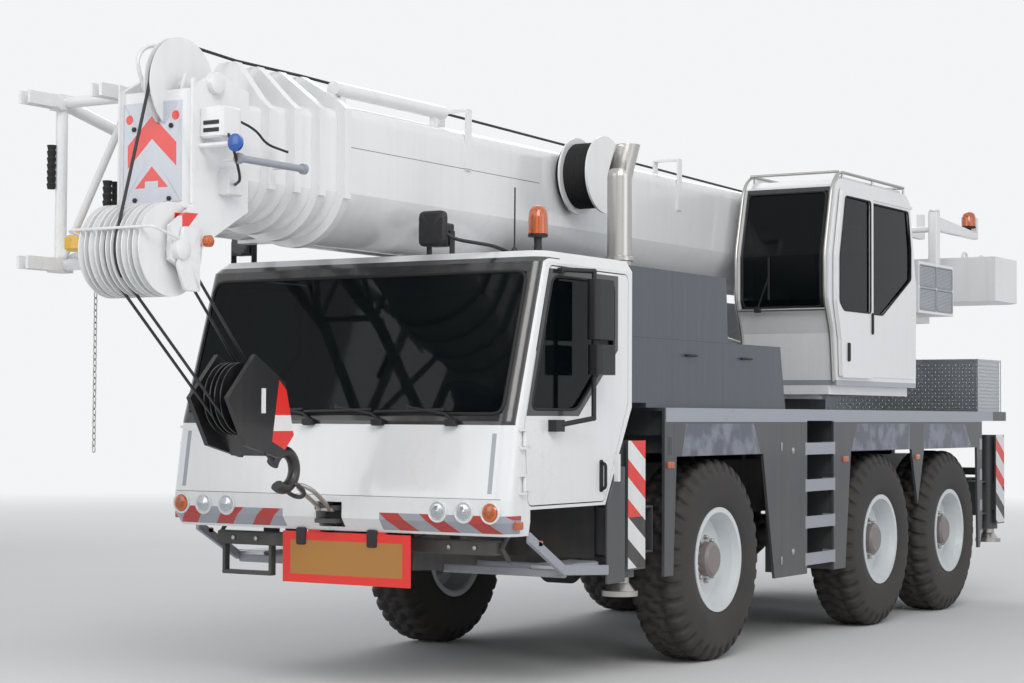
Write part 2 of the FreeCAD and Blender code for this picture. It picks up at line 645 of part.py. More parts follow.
def mirrors(side):
    """Main and wide-angle mirror housings on their tube arm."""
    y = BODY_Y + 95
    main = block((1790, 2010), (y - 10, y + 75), (2110, 2470))
    main = main.makeFillet(30, [e for e in main.Edges if abs(e.Length - 360) < 1])
    wide = block((1790, 2000), (y - 10, y + 85), (1900, 2080))
    wide = wide.makeFillet(30, [e for e in wide.Edges if abs(e.Length - 180) < 1])
    stem = rod(Vector(1960, y + 20, 1640), Vector(1960, y + 20, 2520), 15)
    low = rod(Vector(1960, y + 20, 1640), Vector(2230, BODY_Y + 40, 1600), 15)
    high = rod(Vector(1960, y + 20, 2520), Vector(2180, BODY_Y + 15, 2520), 15)
    foot = block((2200, 2300), (BODY_Y, BODY_Y + 55), (1560, 1630))
    top = block((2150, 2200), (BODY_Y, BODY_Y + 30), (2500, 2530))
    knees = [Part.makeSphere(16, Vector(1960, y + 20, z)) for z in (1640, 2520)]
    group = join(main, wide, stem, low, high, foot, top, *knees)
    return group if side > 0 else mirrored(group)


# Engine housing, exhaust, storage box and wide-load plate


def engine_hood():
    """Stepped housing behind the cab, open along its middle where the boom and cylinder lie."""
    low = DECK_Z
    outline = [(HOOD_FRONT, low), (HOOD_FRONT, HOOD_TOP_Z), (HOOD_STEP, HOOD_TOP_Z), (HOOD_STEP - 30, HOOD_LOW_Z)]
    outline += [(HOOD_REAR + 90, HOOD_LOW_Z), (HOOD_REAR, low)]
    body = side_prism(outline, (-HOOD_Y, HOOD_Y))
    channel = block((HOOD_REAR - 50, HOOD_FRONT + 50), (-HOOD_INNER_Y, HOOD_INNER_Y), (HOOD_CHANNEL_Z, HOOD_TOP_Z + 50))
    bay = block((HOOD_REAR + 160, HOOD_FRONT - 60), (-HOOD_Y + 60, HOOD_Y - 60), (low - 50, HOOD_CHANNEL_Z - 60))
    column = block((HOOD_FRONT - 60, COLUMN_FRONT), (COLUMN_Y, HOOD_Y), (low + 30, HOOD_TOP_Z))
    return join(carve(body, channel, bay), column)


def exhaust_stack():
    """Upright exhaust pipe with its mitred outlet and bracket."""
    base = Vector(EXHAUST_X, EXHAUST_Y, HOOD_TOP_Z)
    knee = Vector(EXHAUST_X, EXHAUST_Y, EXHAUST_TOP_Z - 260)
    tip = Vector(EXHAUST_X - 130, EXHAUST_Y, EXHAUST_TOP_Z)
    pipe = rod(base, knee, EXHAUST_R)
    outlet = rod(knee, tip, EXHAUST_R)
    ball = Part.makeSphere(EXHAUST_R, knee)
    hollow = rod(knee + Z * 20, tip + (tip - knee) * 0.5, EXHAUST_R - 5)
    mitre = plan_prism([(-400, -400), (400, -400), (400, 400), (-400, 400)], (0, 400))
    mitre.translate(Vector(EXHAUST_X, EXHAUST_Y, EXHAUST_TOP_Z - 40))
    return carve(join(pipe, outlet, ball), hollow, mitre)


def storage_box():
    """Chequer-plate box on the rear deck."""
    body = block((-6010, -5400), (-1190, 1190), (DECK_Z, DECK_Z + 460))
    lid = block((-6020, -5390), (-1200, 1200), (DECK_Z + 460, DECK_Z + 475))
    return join(body, lid)


def front_sign():
    """Wide-load plate with its two hangers under the bumper."""
    plate = block((2706, 2712), (-380, 560), (640, 948))
    rails = [block((2680, 2706), (y - 45, y + 45), (640, BUMPER_Z)) for y in (-150, 330)]
    return join(plate, *rails)


# Superstructure


def turntable_frame():
    """Slewing ring, base plate, boom side plates with the pivot pin, mast and rear platform."""
    ring = Part.makeCylinder(RING_R, UPPER_Z - RING_GAP_Z, Vector(SLEW_X, 0, RING_GAP_Z))
    base = Part.makeCylinder(UPPER_R, 60, Vector(SLEW_X, 0, UPPER_Z))
    base = base.common(block((SLEW_X - 1500, SLEW_X + 880), (-1200, CRANE_CAB_Y[0]), (UPPER_Z, UPPER_Z + 60)))
    base = join(base, block((SLEW_X - 800, SLEW_X + 800), (0, CRANE_CAB_Y[0] + 40), (UPPER_Z - 30, UPPER_Z + 10)))
    shelf = block((-3760, -2100), (CRANE_CAB_Y[0] - 30, 1150), (UPPER_Z - 60, CRANE_CAB_Z[0]))
    outline = [
        (-2380, UPPER_Z), (-2380, 2180), (-3700, 2420), (-5200, 3040), (-5420, 3165), (-5730, 3165),
        (-5730, 2680), (-5250, 2420), (-4720, 2250), (-4440, UPPER_Z),
    ]
    plates = [side_prism(outline, PLATE_Y), side_prism(outline, (-PLATE_Y[1], -PLATE_Y[0]))]
    pin = rod(Vector(PIVOT_X, -PLATE_Y[1] - 30, PIVOT_Z), Vector(PIVOT_X, PLATE_Y[1] + 30, PIVOT_Z), PIVOT_R)
    tie = block((-5080, -5000), (-PLATE_Y[0], PLATE_Y[0]), (2360, 2520))
    rear_tie = block((-5730, -5690), (-PLATE_Y[0], PLATE_Y[0]), (2690, 2840))
    luff_ears = []
    for y in ((-150, -95), (95, 150)):
        luff_ears.append(block((LUFF_BASE_X - 90, LUFF_BASE_X + 90), y, (UPPER_Z, LUFF_BASE_Z)))
        luff_ears.append(rod(Vector(LUFF_BASE_X, y[0], LUFF_BASE_Z), Vector(LUFF_BASE_X, y[1], LUFF_BASE_Z), 90))
    luff_pin = rod(Vector(LUFF_BASE_X, -170, LUFF_BASE_Z), Vector(LUFF_BASE_X, 170, LUFF_BASE_Z), LUFF_PIN_R)
    post = block((-5080, -4900), (PLATE_Y[1], PLATE_Y[1] + 180), (2500, 3420))
    arm = block((-5820, -4900), (PLATE_Y[1] + 60, PLATE_Y[1] + 120), (3330, 3400))
    arm_end = block((-5880, -5820), (PLATE_Y[1] + 60, PLATE_Y[1] + 120), (3330, 3560))
    beacon = Part.makeCylinder(70, 150, Vector(-5350, PLATE_Y[1] + 90, 3400))
    left_house = block((-4750, -3900), (PLATE_Y[1], 1200), (2540, 2975))
    left_arm = block((-4700, -3950), (PLATE_Y[1], 1000), (2480, 2540))
    right_house = block((-4850, -3500), (-1200, -PLATE_Y[1]), (2230, 2640))
    right_foot = block((-4300, -2500), (-1100, -PLATE_Y[1]), (UPPER_Z + 60, 2230))
    pieces = [ring, base, shelf, *plates, pin, tie, rear_tie, *luff_ears, luff_pin, post, arm, arm_end, beacon]
    pieces += [left_house, left_arm, right_house, right_foot, hoist_winch()]
    return join(*pieces)


def counterweight():
    """Rear ballast slab with chamfered rear corners."""
    x, z = WEIGHT_X, WEIGHT_Z
    outline = [(x[1], -1250), (x[1], 1250), (x[0] + 160, 1250), (x[0], 1130), (x[0], -1130), (x[0] + 160, -1250)]
    return plan_prism(outline, z)


def hoist_winch():
    """Hoist drum with its two flanges, carried between the side plates."""
    x, z = -5330.0, 2700.0
    y = PLATE_Y[0]
    drum = rod(Vector(x, -y, z), Vector(x, y, z), 60)
    barrel = rod(Vector(x, -260, z), Vector(x, 260, z), 150)
    flanges = [rod(Vector(x, s * 260, z), Vector(x, s * 290, z), 205) for s in (-1, 1)]
    return join(drum, barrel, *flanges)


CRANE_CAB_OUTLINE = (
    (-3790, 1900), (-3810, 2740), (-3660, 3440), (-3560, 3500), (-2200, 3500), (-2085, 3440),
    (-1945, 2900), (-1945, 2560), (-2060, 2300), (-2100, 1900),
)
SLIDE_DOOR_POINTS = ((-2760, 3420), (-2150, 3420), (-2020, 2900), (-2020, 2540), (-2110, 2250), (-2130, 1960), (-2760, 1960))
DOOR_PANE_POINTS = ((-2700, 3360), (-2190, 3360), (-2075, 2890), (-2075, 2540), (-2160, 2480), (-2700, 2480))
REAR_PANE_POINTS = ((-3700, 3050), (-3620, 3360), (-2840, 3360), (-2840, 2480), (-3050, 2480), (-3700, 2800))


def crane_cab_form(inset):
    """Closed form of the crane operator's cab, taken in by a wall thickness."""
    points = grown(CRANE_CAB_OUTLINE, -inset) if inset else CRANE_CAB_OUTLINE
    return side_prism(points, (CRANE_CAB_Y[0] + inset, CRANE_CAB_Y[1] - inset))


def crane_cab_shell():
    """Crane operator's cab: hollow, with front screen, side window, rear window and door opening cut."""
    shell = crane_cab_form(0).cut(crane_cab_form(CRANE_CAB_WALL))
    y = (CRANE_CAB_Y[0] + 60, CRANE_CAB_Y[1] - 60)
    screen = block((-2300, -1800), y, (2500, 3400))
    rear = block((-3900, -3500), y, (2760, 3280))
    skin = (CRANE_CAB_Y[1] - 2 * CRANE_CAB_WALL, CRANE_CAB_Y[1] + 10)
    doorway = side_prism(grown(SLIDE_DOOR_POINTS, -30), skin)
    side_window = rounded_prism(REAR_PANE_POINTS, 30, skin)
    inner_skin = (CRANE_CAB_Y[0] - 10, CRANE_CAB_Y[0] + 2 * CRANE_CAB_WALL)
    inner_window = block((-3500, -2200), inner_skin, (2560, 3360))
    rails = [block((-3560, -2200), (y0, y0 + 20), (3500, 3530)) for y0 in (480, 1150)]
    for z in RUNNER_Z:
        rails.append(block((-3700, -2180), (CRANE_CAB_Y[1] - 5, CRANE_CAB_Y[1] + SLIDE_DOOR_GAP - SLIDE_GAP), (z - 12, z + 12)))
    return join(carve(shell, screen, rear, doorway, side_window, inner_window), *rails)


def crane_cab_glass():
    """Panes of the crane cab that stay with it."""
    skin = crane_cab_form(0).cut(crane_cab_form(GLASS_T))
    y = (CRANE_CAB_Y[0] + 60 + GLASS_GAP, CRANE_CAB_Y[1] - 60 - GLASS_GAP)
    g = GLASS_GAP
    front = skin.common(block((-2300, -1800), y, (2500 + g, 3400 - g)))
    rear = skin.common(block((-3900, -3500), y, (2760 + g, 3280 - g)))
    side = rounded_prism(grown(REAR_PANE_POINTS, -g), 30, (CRANE_CAB_Y[1] - 20, CRANE_CAB_Y[1] - 20 + GLASS_T))
    inner = block((-3500 + g, -2200 - g), (CRANE_CAB_Y[0] + 10, CRANE_CAB_Y[0] + 10 + GLASS_T), (2560 + g, 3360 - g))
    return Part.makeCompound(front.Solids + rear.Solids + [side, inner])


def crane_cab_interior():
    """Operator's seat with its arm consoles, and the floor pedals' box."""
    floor_z = CRANE_CAB_Z[0] + CRANE_CAB_WALL
    y = (CRANE_CAB_Y[0] + CRANE_CAB_Y[1]) / 2
    base = block((-3250, -2950), (y - 140, y + 140), (floor_z, 2300))
    cushion = block((-3330, -2800), (y - 240, y + 240), (2300, 2420))
    back = side_prism([(-3200, 2420), (-3330, 3020), (-3440, 3020), (-3330, 2420)], (y - 230, y + 230))
    arms = [block((-3150, -2700), (y + s * 290 - 50, y + s * 290 + 50), (2420, 2500)) for s in (-1, 1)]
    levers = [rod(Vector(-2760, y + s * 290, 2480), Vector(-2740, y + s * 290, 2640), 18) for s in (-1, 1)]
    seat = join(base, cushion, back, *arms, *levers)
    return Part.makeCompound([seat, block((-2420, -2260), (y - 200, y + 200), (floor_z, 2140))])


def crane_cab_door():
    """Sliding door of the crane cab, outside its side wall."""
    y = (CRANE_CAB_Y[1] + SLIDE_DOOR_GAP, CRANE_CAB_Y[1] + SLIDE_DOOR_GAP + SLIDE_DOOR_T)
    leaf = rounded_prism(SLIDE_DOOR_POINTS, 25, y)
    window = rounded_prism(DOOR_PANE_POINTS, 25, (y[0] - 20, y[1] + 20))
    return leaf.cut(window)


def crane_cab_door_glass():
    """Pane of the sliding door."""
    y = CRANE_CAB_Y[1] + SLIDE_DOOR_GAP + 12
    return rounded_prism(grown(DOOR_PANE_POINTS, -GLASS_GAP), 25, (y, y + GLASS_T))


# Boom


def boom_wire(x, inset):
    """Boom cross-section: flat top, rounded upper corners, upright sides and a round bottom."""
    b = BOOM_HALF_W - inset
    up = BOOM_Z + BOOM_UP - inset
    down = BOOM_Z - BOOM_DOWN + inset
    r = max(90.0 - inset / 2, 20.0)
    k = r * (1 - math.sqrt(0.5))
    side_z = BOOM_Z - 120
    top_left, top_right = Vector(x, b - r, up), Vector(x, r - b, up)
    edges = [
        Part.LineSegment(top_right, top_left).toShape(),
        Part.Arc(top_left, Vector(x, b - k, up - k), Vector(x, b, up - r)).toShape(),
        Part.LineSegment(Vector(x, b, up - r), Vector(x, b, side_z)).toShape(),
        Part.Arc(Vector(x, b, side_z), Vector(x, 0, down), Vector(x, -b, side_z)).toShape(),
        Part.LineSegment(Vector(x, -b, side_z), Vector(x, -b, up - r)).toShape(),
        Part.Arc(Vector(x, -b, up - r), Vector(x, k - b, up - k), top_right).toShape(),
    ]
    return Part.Wire(edges)


def boom_bar(x_low, x_high, inset):
    """A solid bar of the boom's section."""
    return Part.Face(boom_wire(x_low, inset)).extrude(Vector(x_high - x_low, 0, 0))


def boom_tube(x_low, x_high, inset):
    """A tube of the boom's section with its wall."""
    return boom_bar(x_low, x_high, inset).cut(boom_bar(x_low - 10, x_high + 10, inset + BOOM_WALL))


def collar(x, inset, opening):
    """End collar: a plate round the tube, rising to a narrow fin on top."""
    b = BOOM_HALF_W - inset + 34
    up = BOOM_Z + BOOM_UP - inset + 22
    fin = BOOM_Z + BOOM_UP + 170
    outline = [(-b, BOOM_Z - 160), (-b, up - 60), (-b + 70, up), (-60, fin), (60, fin), (b - 70, up), (b, up - 60), (b, BOOM_Z - 160)]
    plate = cross_prism(outline, (x, x + COLLAR_T))
    lower = boom_bar(x, x + COLLAR_T, inset - 30).common(block((x - 5, x + COLLAR_T + 5), (-600, 600), (2400, BOOM_Z - 150)))
    return join(plate, lower).cut(boom_bar(x - 10, x + COLLAR_T + 10, opening))


def boom_base():
    """Base section with its foot plates, front collar, cable drum, rails and cylinder lugs."""
    tube_part = boom_tube(BOOM_REAR, COLLARS[0], 0)
    pieces = [tube_part, collar(COLLARS[0], 0, BOOM_STEP - SLIDE_GAP)]
    for side in (-1, 1):
        y = sorted((side * (BOOM_HALF_W - 45), side * BOOM_HALF_W))
        foot = side_prism([(PIVOT_X, PIVOT_Z - 120), (BOOM_REAR + 500, BOOM_Z - 300), (BOOM_REAR + 500, BOOM_Z + 250), (PIVOT_X, PIVOT_Z + 120)], y)
        foot = join(foot, rod(Vector(PIVOT_X, y[0], PIVOT_Z), Vector(PIVOT_X, y[1], PIVOT_Z), 120))
        inner = boom_bar(BOOM_REAR, BOOM_REAR + 600, BOOM_WALL - 1)
        pieces.append(foot.cut(inner))
        ear_y = sorted((side * 95, side * 150))
        ear = side_prism(
            [(LUFF_EYE_X - 320, BOOM_Z - 340), (LUFF_EYE_X - 70, LUFF_EYE_Z - 80), (LUFF_EYE_X + 70, LUFF_EYE_Z - 80), (LUFF_EYE_X + 320, BOOM_Z - 340)],
            ear_y,
        )
        pieces.append(ear.cut(boom_bar(LUFF_EYE_X - 400, LUFF_EYE_X + 400, BOOM_WALL - 1)))
    drum_x, drum_z = 490.0, 3290.0
    pieces.append(rod(Vector(drum_x, BOOM_HALF_W - 5, drum_z), Vector(drum_x, 620, drum_z), 175))
    for y in (400, 610):
        pieces.append(rod(Vector(drum_x, y, drum_z), Vector(drum_x, y + 16, drum_z), 262))
    for x in (1790, -1140):
        pieces.append(block((x - 30, x + 30), (BOOM_HALF_W, BOOM_HALF_W + 14), (3200, 3590)))
        pieces.append(block((x - 30, x + 30), (140, BOOM_HALF_W + 14), (3575, 3590)))
        pieces.append(block((x - 30, x + 30), (140, 154), (BOOM_Z + BOOM_UP - 5, 3590)))
    pieces.append(rod(Vector(3060, 230, 3560), Vector(1900, 230, 3560), 42))
    for x in (2000, 2980):
        pieces.append(block((x - 25, x + 25), (215, 245), (BOOM_Z + BOOM_UP - 5, 3560)))
    for x in (2400, -2600):
        low = TRUSS_Z[0] - CHORD_R - 22
        pieces.append(block((x - 60, x + 60), (TRUSS_Y[0] - 10, -BOOM_HALF_W - 2), (low, low + 22)))
        pieces.append(block((x - 60, x + 60), (-BOOM_HALF_W - 16, -BOOM_HALF_W + 2), (low, BOOM_Z)))
    bores = [rod(Vector(PIVOT_X, -500, PIVOT_Z), Vector(PIVOT_X, 500, PIVOT_Z), PIVOT_R + PIN_GAP)]
    bores.append(rod(Vector(LUFF_EYE_X, -200, LUFF_EYE_Z), Vector(LUFF_EYE_X, 200, LUFF_EYE_Z), LUFF_PIN_R))
    return carve(join(*pieces), *bores)


def boom_section(number):
    """Telescopic section 1 to 3 with its collar."""
    inset = number * BOOM_STEP
    x = COLLARS[number]
    return join(boom_tube(SECTION_REARS[number - 1], x, inset), collar(x, inset, inset + BOOM_STEP - SLIDE_GAP))


def boom_head():
    """Innermost section with the head: cheek plates, front plate and the sheaves."""
    inset = SECTION_COUNT * BOOM_STEP
    pieces = [boom_tube(SECTION_REARS[-1], HEAD_X - 300, inset)]
    half = HEAD_HALF_W
    cheek_outline = [
        (HEAD_X - 420, 3420), (HEAD_X - 420, 2760), (HEAD_X - 60, 2560), (SHEAVE_X - 90, SHEAVE_Z - 130),
        (SHEAVE_X + 60, SHEAVE_Z - 60), (SHEAVE_X + 60, SHEAVE_Z + 120), (HEAD_X + 30, 2760), (HEAD_X + 30, 3400), (HEAD_X - 120, 3480),
    ]
    for side in (-1, 1):
        pieces.append(side_prism(cheek_outline, sorted((side * (half - 30), side * half))))
    pieces.append(block((HEAD_X, HEAD_X + 22), (-half, half), (2740, 3390)))
    pieces.append(block((HEAD_X - 420, HEAD_X - 390), (-half, half), (2760, 3400)))
    pieces.append(rod(Vector(SHEAVE_X, -half - 20, SHEAVE_Z), Vector(SHEAVE_X, half + 20, SHEAVE_Z), 40))
    for i in range(SHEAVE_COUNT):
        y = -half + 40 + SHEAVE_PITCH * (i + 0.5)
        pieces.append(sheave(SHEAVE_X, y, SHEAVE_Z, SHEAVE_R))
    for y in (-70, 110):
        pieces.append(side_prism([(TOP_SHEAVE_X - 200, 3300), (TOP_SHEAVE_X - 60, TOP_SHEAVE_Z + 60), (TOP_SHEAVE_X + 60, TOP_SHEAVE_Z + 60), (TOP_SHEAVE_X + 130, 3300)], (y, y + 16)))
    pieces.append(block((HEAD_X - 400, HEAD_X + 10), (-half, half), (3290, 3310)))
    pieces.append(rod(Vector(TOP_SHEAVE_X, -90, TOP_SHEAVE_Z), Vector(TOP_SHEAVE_X, 140, TOP_SHEAVE_Z), 34))
    pieces.append(sheave(TOP_SHEAVE_X, 28, TOP_SHEAVE_Z, TOP_SHEAVE_R))
    return join(*pieces)


def sheave(x, y, z, radius):
    """Rope sheave with its groove."""
    floor = radius - GROOVE_DEPTH
    profile = [(-24, 0), (-24, radius), (-17, radius), (-GROOVE_HALF, floor), (GROOVE_HALF, floor), (17, radius)]
    profile += [(24, radius), (24, 0)]
    ring = [Vector(x, y + u, z + r) for u, r in profile]
    return Part.Face(Part.makePolygon(ring + ring[:1])).revolve(Vector(x, y, z), Y, 360)


def jib_bay(x, step, flip):
    """One bay's lacing: a square of struts at x and a diagonal on each side."""
    pieces = []
    for y in TRUSS_Y:
        pieces.append(rod(Vector(x, y, TRUSS_Z[0]), Vector(x, y, TRUSS_Z[1]), BRACE_R))
        if step:
            pieces.append(rod(Vector(x, y, TRUSS_Z[flip]), Vector(x - step, y, TRUSS_Z[1 - flip]), DIAGONAL_R))
    for z in TRUSS_Z:
        pieces.append(rod(Vector(x, TRUSS_Y[0], z), Vector(x, TRUSS_Y[1], z), BRACE_R))
        if step:
            pieces.append(rod(Vector(x, TRUSS_Y[flip], z), Vector(x - step, TRUSS_Y[1 - flip], z), DIAGONAL_R))
    return pieces


def stowed_jib():
    """Lattice jib: foot frame with its four forks, chords that draw together, and lacing."""
    body = None
    for i, j in ((0, 0), (0, 1), (1, 0), (1, 1)):
        foot = Vector(JIB_X, JIB_Y[i], JIB_Z[j])
        start = Vector(TRUSS_X[1], TRUSS_Y[i], TRUSS_Z[j])
        end = Vector(TRUSS_X[0], TRUSS_Y[i], TRUSS_Z[j])
        chord = join(rod(start, end, CHORD_R), Part.makeSphere(CHORD_R + 6, start), rod(foot, start, CHORD_R - 2))
        lug_block = block((JIB_X - 60, JIB_X + 60), (JIB_Y[i] - 44, JIB_Y[i] + 44), (JIB_Z[j] - 44, JIB_Z[j] + 44))
        chord = chord.fuse(lug_block)
        for s in (-1, 1):
            y = JIB_Y[i] + s * 34
            chord = chord.fuse(block((JIB_X - 20, JIB_X + 300), (y - 10, y + 10), (JIB_Z[j] - 36, JIB_Z[j] + 36)))
        body = chord if body is None else body.fuse(chord)
    for y in JIB_Y:
        body = body.fuse(rod(Vector(JIB_X, y, JIB_Z[0]), Vector(JIB_X, y, JIB_Z[1]), CHORD_R - 4))
    for z in JIB_Z:
        body = body.fuse(rod(Vector(JIB_X, JIB_Y[0], z), Vector(JIB_X, JIB_Y[1], z), CHORD_R - 6))
    body = body.fuse(rod(Vector(JIB_X, JIB_Y[0], JIB_Z[0]), Vector(JIB_X, JIB_Y[1], JIB_Z[1]), BRACE_R))
    step = (TRUSS_X[1] - TRUSS_X[0]) / JIB_BAYS
    for n in range(JIB_BAYS + 1):
        for piece in jib_bay(TRUSS_X[1] - 60 - n * (step - 120 / JIB_BAYS), (step - 120 / JIB_BAYS) if n < JIB_BAYS else 0, n % 2):
            body = body.fuse(piece)
    return body


# Hook block


def falls(y, reach, block_sheave_r):
    """One reeving: the rope over a head sheave and its two falls down to the block's sheave."""
    loop_r = SHEAVE_R - GROOVE_DEPTH + ROPE_R + SLIDE_GAP
    loop = Part.makeTorus(loop_r, ROPE_R, Vector(0, y, 0), Y).cut(block((-400, 400), (y - 50, y + 50), (-400, 0)))
    low_r = block_sheave_r - GROOVE_DEPTH + ROPE_R - 3
    lines = [rod(Vector(s * loop_r, y, 0), Vector(s * low_r, y, -reach), ROPE_R) for s in (-1, 1)]
    return [loop] + lines


def hook_block():
    """Hook block on its rope falls: cheeks, sheaves, hook and the shackle that ties it down."""
    cheeks = []
    outline = [(-170, 240), (170, 240), (250, -60), (90, -330), (-90, -330), (-250, -60)]
    for side in (-1, 1):
        y = sorted((side * 120, side * 150))
        cheeks.append(side_prism(outline, y))
    body = block((-150, 150), (-125, 125), (-250, 100))
    wheels = [sheave(0, y, 60, BLOCK_SHEAVE_R) for y in BLOCK_SHEAVES_Y]
    axle = rod(Vector(0, -125, 60), Vector(0, 125, 60), 40)
    shank = rod(Vector(0, 0, -300), Vector(0, 0, -240), 45)
    neck = rod(Vector(0, 0, -450), Vector(0, 0, -290), 32)
    bowl = Part.makeTorus(105, 36, Vector(-10, 0, -540), Y).cut(block((30, 300), (-80, 80), (-560, -380)))
    bow = Part.makeTorus(62, 13, Vector(0, 0, -700), X)
    group = join(body, *cheeks, *wheels, axle, shank, neck, bowl, bow)
    group.translate(Vector(0, 0, -BLOCK_AT))
    reach = BLOCK_AT - 60
    ropes = []
    for y in BLOCK_SHEAVES_Y:
        ropes += falls(y, reach, BLOCK_SHEAVE_R)
    group = join(group, *ropes)
    group.rotate(Vector(0, 0, 0), Y, 90 - BLOCK_TILT)
    group.translate(Vector(SHEAVE_X, 0, SHEAVE_Z))
    return group


# Luffing cylinder


def luff_line():
    """Base pin, eye pin and the unit vector from one to the other."""
    base = Vector(LUFF_BASE_X, 0, LUFF_BASE_Z)
    eye = Vector(LUFF_EYE_X, 0, LUFF_EYE_Z)
    return base, eye, (eye - base).normalize()


def luff_barrel():
    """Luffing cylinder's barrel with its base eye."""
    base, eye, along = luff_line()
    length = (eye - base).Length
    body = rod(base + along * 110, base + along * (length - 230), LUFF_BARREL_R)
    lug = rod(Vector(base.x, -80, base.z), Vector(base.x, 80, base.z), 90)
    neck = rod(base, base + along * 130, 75)
    shape = join(body, lug, neck)
    mouth = length - 290
    bore = join(rod(base + along * 190, base + along * mouth, LUFF_ROD_R + 6), rod(base + along * 200, base + along * length, LUFF_ROD_R + SLIDE_GAP))
    pin = rod(Vector(base.x, -200, base.z), Vector(base.x, 200, base.z), LUFF_PIN_R + PIN_GAP)
    return carve(shape, bore, pin)


def luff_rod():
    """Piston rod with its eye and pin."""
    base, eye, along = luff_line()
    rod_part = rod(base + along * 240, eye - along * 60, LUFF_ROD_R)
    lug = rod(Vector(eye.x, -85, eye.z), Vector(eye.x, 85, eye.z), 88)
    return join(rod_part, lug)


# Writing


def parts():
    """Every sub-part by node name."""
    made = {
        "chassis_frame": chassis_frame,
        "side_decks": side_decks,
        "cab_shell": cab_shell,
        "cab_glass": cab_glass,
        "cab_interior": cab_interior,
        "engine_hood": engine_hood,
        "exhaust_stack": exhaust_stack,
        "storage_box": storage_box,
        "front_sign": front_sign,
        "axle_beams": lambda: Part.makeCompound([axle_beam(n) for n in AXLES]),
        "turntable_frame": turntable_frame,
        "counterweight": counterweight,
        "crane_cab_shell": crane_cab_shell,
        "crane_cab_glass": crane_cab_glass,
        "crane_cab_interior": crane_cab_interior,
        "crane_cab_door": crane_cab_door,
        "crane_cab_door_glass": crane_cab_door_glass,
        "boom_base": boom_base,
        "boom_head": boom_head,
        "stowed_jib": stowed_jib,
        "hook_block": hook_block,
        "luff_barrel": luff_barrel,
        "luff_rod": luff_rod,
    }
    for number in range(1, SECTION_COUNT):
        made[f"boom_section_{number}"] = lambda n=number: boom_section(n)
    for name, side in (("left", 1), ("right", -1)):
        made[f"door_{name}"] = lambda s=side: cab_door(s)
        made[f"door_glass_{name}"] = lambda s=side: door_glass(s)
        made[f"mirrors_{name}"] = lambda s=side: mirrors(s)
        for axle in AXLES:
            made[f"tyre_{axle}_{name}"] = lambda a=axle, s=side: tyre(a, s)
            made[f"rim_{axle}_{name}"] = lambda a=axle, s=side: rim(a, s)
            made[f"knuckle_{axle}_{name}"] = lambda a=axle, s=side: knuckle(a, s)
    places = {
        "front_left": (FRONT_LEFT_X, 1),
        "front_right": (FRONT_RIGHT_X, -1),
        "rear_left": (REAR_LEFT_X, 1),
        "rear_right": (REAR_RIGHT_X, -1),
    }
    for name, (x, side) in places.items():
        made[f"outrigger_{name}"] = lambda x=x, s=side: outrigger_beam(x, s)
        made[f"jack_{name}"] = lambda x=x, s=side: outrigger_jack(x, s)
    return made


def main():
    os.makedirs("parts", exist_ok=True)
    for name, make in parts().items():
        shape = make()
        shape.translate(Vector(ROW_SHIFT, 0, 0))
        shape.exportStep(f"parts/{name}.step")


main()
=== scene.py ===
import math

import bpy
import numpy as np
from mathutils import Matrix, Vector


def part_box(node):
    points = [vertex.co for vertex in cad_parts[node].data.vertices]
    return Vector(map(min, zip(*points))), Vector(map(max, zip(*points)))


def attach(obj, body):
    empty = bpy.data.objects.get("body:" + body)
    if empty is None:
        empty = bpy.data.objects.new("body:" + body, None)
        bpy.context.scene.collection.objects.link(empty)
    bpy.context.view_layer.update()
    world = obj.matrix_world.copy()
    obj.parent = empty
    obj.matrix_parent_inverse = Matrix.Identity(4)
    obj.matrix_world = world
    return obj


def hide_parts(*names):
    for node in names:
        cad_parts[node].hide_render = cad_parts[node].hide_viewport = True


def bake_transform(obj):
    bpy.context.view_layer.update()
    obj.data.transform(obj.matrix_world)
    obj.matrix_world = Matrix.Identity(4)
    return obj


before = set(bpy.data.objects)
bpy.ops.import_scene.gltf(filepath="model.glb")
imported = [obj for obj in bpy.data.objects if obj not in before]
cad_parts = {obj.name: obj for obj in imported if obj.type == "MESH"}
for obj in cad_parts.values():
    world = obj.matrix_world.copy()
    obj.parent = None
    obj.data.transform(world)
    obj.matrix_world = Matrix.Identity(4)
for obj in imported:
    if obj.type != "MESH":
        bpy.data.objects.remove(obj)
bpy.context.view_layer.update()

scene = bpy.context.scene
sides = {"left": 1.0, "right": -1.0}
axles = (1, 2, 3)

# camera and studio

cameraSetup = {
    "place": (13.734, 7.479, 1.651),
    "yaw": -148.386,
    "pitch": 2.047,
    "roll": 0.275,
    "lens": 73.31,
    "sensor": 36.0,
}


def makeCamera(setup):
    yaw, pitch, roll = (math.radians(setup[k]) for k in ("yaw", "pitch", "roll"))
    forward = Vector((math.cos(pitch) * math.cos(yaw), math.cos(pitch) * math.sin(yaw), math.sin(pitch)))
    level = Vector((math.sin(yaw), -math.cos(yaw), 0.0))
    upright = level.cross(forward)
    right = level * math.cos(roll) + upright * math.sin(roll)
    up = upright * math.cos(roll) - level * math.sin(roll)
    turn = Matrix((right, up, -forward)).transposed().to_4x4()
    data = bpy.data.cameras.new("photoCamera")
    data.lens = setup["lens"]
    data.sensor_width = setup["sensor"]
    data.clip_end = 200.0
    camera = bpy.data.objects.new("photoCamera", data)
    camera.matrix_world = Matrix.Translation(setup["place"]) @ turn
    scene.collection.objects.link(camera)
    scene.camera = camera


makeCamera(cameraSetup)
print("camera placed")


# node helpers


def feed(node, name, value):
    # a socket is linked, anything else becomes the input's constant
    if isinstance(value, bpy.types.NodeSocket):
        node.id_data.links.new(value, node.inputs[name])
    else:
        node.inputs[name].default_value = value


